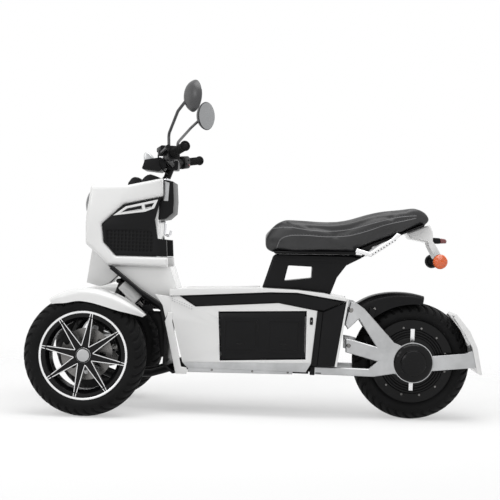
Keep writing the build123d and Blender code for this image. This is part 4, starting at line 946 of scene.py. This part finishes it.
bar_centre = steer(808, 6)
grips = []
end_plugs = []
buttons = {"black_plastic": [], "red_lens": []}
clamp_bolts = []
for s in SIDES:
    mirror = Vector((1, s, 1))
    bar_end = bar_centre + Vector(GRIP_END) * mirror
    bar_bend = bar_centre + Vector(BAR_BEND) * mirror
    grip_way = (bar_end - bar_bend).normalized()
    grips.append(lathe(grip_section, bar_end, grip_way, 48))
    end_plugs.append(lathe(dome(0.0110, 0.0022), bar_end + grip_way * 0.0016, grip_way, 32))
    switch_up = (Vector((0, 0, 1)) - grip_way * grip_way.z).normalized()
    rearward = grip_way.cross(switch_up)
    if rearward.x < 0:
        rearward = -rearward
    rear = bar_end - grip_way * (GRIP_LENGTH + 0.026) + rearward * 0.0240
    for slot_name, up_by, along, r in BUTTONS:
        spot = rear + switch_up * up_by + grip_way * along
        buttons[slot_name].append(lathe(dome(r, 0.0034), spot, rearward, 24))
    for back in (-0.015, 0.015):
        spot = bar_centre + Vector((back, s * 0.024, 0.0198))
        clamp_bolts.append(lathe(dome(0.0045, 0.0035), spot, (0, 0, 1), 6))
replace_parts(join("ribbed_grips", grips, "grip_rubber", "steering", 30), "grips")
join("grip_plugs", end_plugs, "black_metal", "steering")
join("clamp_bolts", clamp_bolts, "steel", "steering", 20)
for slot_name, chunks in buttons.items():
    join(f"switch_buttons_{slot_name.split('_')[0]}", chunks, slot_name, "steering")


def by_bar(outline, half):
    """A plate across the bar's middle, from side-view places in millimetres from the bar's centre."""
    corners = [(bar_centre.x + x / 1000, bar_centre.z + z / 1000) for x, z in outline]
    return plate(corners, -half, half)


screen = by_bar([(-44.2, 27.9), (-25.4, 12.9), (-24.2, 14.5), (-43.0, 29.5)], 0.052)
bevelled(join("display_screen", [screen], "wheel_black", "steering"), 0.0006, 2)
# The hood's light silver is a painted highlight on the display's front top corner
hood = by_bar([(-118, 8), (-119, 40), (-113, 50), (-100, 49), (-84, 34), (-84, 8)], 0.040)
bevelled(join("display_hood_highlight", [hood], "silver_metal", "steering"), 0.011, 4)
sleeve = [(0.0152, 0), (0.0170, 0), (0.0176, 0.001), (0.0176, 0.019), (0.0170, 0.020), (0.0152, 0.020)]
join("riser_sleeve", [lathe(sleeve, steer(731), UP, 64)], "chrome", "steering")

# Brake hoses: from each brake cylinder, under the bar, to the stem

HOSE_D = 0.006
HOSE_ROUTE = (
    (-409.11, 171.58, 1040.33), (-426.46, 136.01, 1034.55), (-418.81, 98.0, 983.62),
    (-395.155, 51.3, 955.265), (-395.155, 15.3, 955.265),
)
for hand, s in HANDS:
    line = bpy.data.curves.new(f"brake_hose_{hand}", "CURVE")
    line.dimensions = "3D"
    line.bevel_depth = HOSE_D / 2
    line.bevel_resolution = 6
    line.use_fill_caps = True
    line.resolution_u = 24
    spline = line.splines.new("NURBS")
    route = [(x / 1000, s * y / 1000, z / 1000) for x, y, z in HOSE_ROUTE]
    spline.points.add(len(route) - 1)
    for point, spot in zip(spline.points, route):
        point.co = (*spot, 1)
    spline.order_u = 3
    spline.use_endpoint_u = True
    hose = bpy.data.objects.new(f"brake_hose_{hand}", line)
    bpy.context.scene.collection.objects.link(hose)
    line.materials.append(mats["grip_rubber"])
    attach(hose, "steering")
    if s < 0:
        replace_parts(hose, "brake_hoses")

# Seat: the CAD solid rounded, swollen as foam under its cover, then its seams and stitches

SEAT_SWELL = 0.006
SEAT_HALF = 0.136
CAD_HALF = 0.138
SEAT_GRID = 0.005
FOAM_PRESSURE = 4.0
FOAM_FRAMES = 20


def seat_width(x):
    """Half width of the seat in metres at a distance behind the front axle, in plan."""
    nose = step(x, 0.640, 0.800)
    tail = 1 - step(x, 1.180, 1.345)
    return SEAT_HALF * (0.60 + 0.40 * nose) * (0.72 + 0.28 * tail)


def smoothed(mesh, turns):
    """Evens out a mesh, a given number of times."""
    edit = bmesh.new()
    edit.from_mesh(mesh)
    axes = {f"use_axis_{axis}": True for axis in "xyz"}
    for turn in range(turns):
        bmesh.ops.smooth_vert(edit, verts=edit.verts, factor=0.5, **axes)
    edit.to_mesh(mesh)
    edit.free()


seat = link("seat_cover", clean_copy("seat_cushion"), "seat_leather", "chassis")
remesh = seat.modifiers.new("even", "REMESH")
remesh.mode = "VOXEL"
remesh.voxel_size = SEAT_GRID
baked(seat)
for v in seat.data.vertices:
    v.co.y *= seat_width(v.co.x - FRONT_X) / CAD_HALF
smoothed(seat.data, 26)
rest = [v.co.copy() for v in seat.data.vertices]
cloth = seat.modifiers.new("foam", "CLOTH")
cloth.settings.use_pressure = True
cloth.settings.uniform_pressure_force = FOAM_PRESSURE
cloth.settings.effector_weights.gravity = 0
cloth.settings.quality = 5
scene = bpy.context.scene
for frame_at in range(1, FOAM_FRAMES + 1):
    scene.frame_set(frame_at)
baked(seat)
scene.frame_set(1)
for v, home in zip(seat.data.vertices, rest):
    move = v.co - home
    if move.length > SEAT_SWELL:
        v.co = home + move.normalized() * SEAT_SWELL
smoothed(seat.data, 3)
subdivide = seat.modifiers.new("fine", "SUBSURF")
subdivide.levels = 1
subdivide.render_levels = 1
baked(seat)
shaded(seat, 60)
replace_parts(seat, "seat_cushion")
seat_faces = BVHTree.FromObject(seat, bpy.context.evaluated_depsgraph_get())

SEAM_HIGH = [
    (699, 749), (763.5, 756), (857, 746), (938.6, 746.3), (1014, 757.9), (1112, 787.6), (1198.6, 811),
    (1268, 819.6),
]
SEAM_LOW = [
    (718.3, 671), (733, 706.5), (770, 722.8), (834.4, 726), (916, 723.3), (997.6, 729.8), (1072, 751),
    (1141, 776.8), (1216.6, 797), (1266, 809.6),
]


def curve_through(points, count):
    """Evenly counted points on a smooth curve through the given ones."""
    made = []
    for k in range(count + 1):
        progress = (len(points) - 1) * k / count
        i = min(int(progress), len(points) - 2)
        t = progress - i
        a, b = Vector(points[max(i - 1, 0)]), Vector(points[i])
        c, d = Vector(points[i + 1]), Vector(points[min(i + 2, len(points) - 1)])
        bend = (a - b * 2.5 + c * 2 - d * 0.5) * t * t
        made.append(b + (c - a) * 0.5 * t + bend + (b * 1.5 - a * 0.5 - c * 1.5 + d * 0.5) * t ** 3)
    return made


PIPING_R = 0.0013
STITCH_R = 0.0005
STITCH_ABOVE = Vector((0, 0, 0.0042))
piping = []
stitches = []
for s in SIDES:
    for seam in (SEAM_HIGH, SEAM_LOW):
        line = []
        for x, z in curve_through(seam, 160):
            hit, normal, index, distance = seat_faces.ray_cast(place(x, s * 400, z), Vector((0, -s, 0)))
            if hit:
                line.append((hit, normal))
        piping.append(pipe([spot + normal * 0.0001 for spot, normal in line], PIPING_R, 8))
        for k in range(2, len(line) - 3, 3):
            ends = []
            for spot, normal in line[k:k + 2]:
                near, way, index, distance = seat_faces.find_nearest(spot + STITCH_ABOVE)
                ends.append(near + way * 0.0003)
            stitches.append(pipe(ends, STITCH_R, 6))
seat_piping = join("seat_piping", piping, "seat_leather", angle=60)
seat_stitches = join("seat_stitches", stitches, "seat_leather", angle=60)
# The stitches take grey thread; on the piping the same light grey is a painted highlight along the seams
for trim in (seat_piping, seat_stitches):
    repaint(trim, thread_and_seam_highlight)

# Stage, light and camera

FADE_FROM, FADE_TO = 1.1, 3.2
FLOOR_CLEAR = 0.42
floor_mesh = bpy.data.meshes.new("floor")
edit = bmesh.new()
bmesh.ops.create_circle(edit, cap_ends=True, radius=9.0, segments=96)
edit.to_mesh(floor_mesh)
edit.free()
floor = bpy.data.objects.new("floor", floor_mesh)
bpy.context.scene.collection.objects.link(floor)
pale = bpy.data.materials.new("floor_pale")
pale.use_nodes = True
tree = pale.node_tree
tree.nodes.clear()
out = tree.nodes.new("ShaderNodeOutputMaterial")
diffuse = node(tree, "ShaderNodeBsdfDiffuse", Color=(0.93, 0.93, 0.93, 1), Roughness=1.0)
clear = tree.nodes.new("ShaderNodeBsdfTransparent")
mix = tree.nodes.new("ShaderNodeMixShader")
coords = tree.nodes.new("ShaderNodeTexCoord")
length = tree.nodes.new("ShaderNodeVectorMath")
length.operation = "LENGTH"
fade = tree.nodes.new("ShaderNodeMapRange")
fade.interpolation_type = "SMOOTHSTEP"
for key, value in (("From Min", FADE_FROM), ("From Max", FADE_TO), ("To Min", FLOOR_CLEAR)):
    fade.inputs[key].default_value = value
tree.links.new(coords.outputs["Object"], length.inputs[0])
tree.links.new(length.outputs["Value"], fade.inputs["Value"])
tree.links.new(fade.outputs["Result"], mix.inputs["Fac"])
tree.links.new(diffuse.outputs["BSDF"], mix.inputs[1])
tree.links.new(clear.outputs["BSDF"], mix.inputs[2])
tree.links.new(mix.outputs["Shader"], out.inputs["Surface"])
floor.data.materials.append(pale)

world = bpy.data.worlds.new("studio")
bpy.context.scene.world = world
world.use_nodes = True
tree = world.node_tree
tree.nodes.clear()
out = tree.nodes.new("ShaderNodeOutputWorld")
fill = node(tree, "ShaderNodeBackground", Color=(1, 1, 1, 1), Strength=0.62)
seen = node(tree, "ShaderNodeBackground", Color=(1, 1, 1, 1), Strength=1.0)
path = tree.nodes.new("ShaderNodeLightPath")
mix = tree.nodes.new("ShaderNodeMixShader")
rays = path.outputs["Is Camera Ray"]
for kind in ("Is Glossy Ray", "Is Transmission Ray"):
    either = tree.nodes.new("ShaderNodeMath")
    either.operation = "MAXIMUM"
    tree.links.new(rays, either.inputs[0])
    tree.links.new(path.outputs[kind], either.inputs[1])
    rays = either.outputs["Value"]
tree.links.new(rays, mix.inputs["Fac"])
tree.links.new(fill.outputs["Background"], mix.inputs[1])
tree.links.new(seen.outputs["Background"], mix.inputs[2])
tree.links.new(mix.outputs["Shader"], out.inputs["Surface"])


def softbox(name, at, aim, size, watts):
    """A rectangular light that shines on a point."""
    lamp = bpy.data.lights.new(name, "AREA")
    lamp.shape = "RECTANGLE"
    lamp.size, lamp.size_y = size
    lamp.energy = watts
    holder = bpy.data.objects.new(name, lamp)
    holder.location = at
    holder.rotation_euler = (Vector(aim) - Vector(at)).to_track_quat("-Z", "Y").to_euler()
    bpy.context.scene.collection.objects.link(holder)


softbox("top_light", (0.2, -0.6, 3.4), (0, 0, 0.4), (3.2, 2.4), 66)
softbox("side_light", (-2.6, -3.0, 2.0), (0, 0, 0.5), (2.0, 1.6), 26)
softbox("rear_light", (2.8, 2.2, 2.2), (0, 0, 0.5), (2.0, 1.6), 20)

# The camera's place and turn were fitted to features of the photo
CAMERA_AT = (0.1132, -4.5767, 0.6529)
CAMERA_LENS = 80.645
camera_data = bpy.data.cameras.new("camera")
camera_data.sensor_width = 36
camera_data.lens = CAMERA_LENS
camera = bpy.data.objects.new("camera", camera_data)
right = Vector((0.9987116, 0.0352515, 0.0365041))
down = Vector((0.0364228, 0.0029458, -0.9993321))
ahead = Vector((-0.0353355, 0.9993741, 0.0016581))
turned = Matrix((right, -down, -ahead)).transposed().to_4x4()
camera.matrix_world = Matrix.Translation(CAMERA_AT) @ turned
bpy.context.scene.collection.objects.link(camera)
bpy.context.scene.camera = camera
bpy.context.scene.view_settings.view_transform = "Standard"
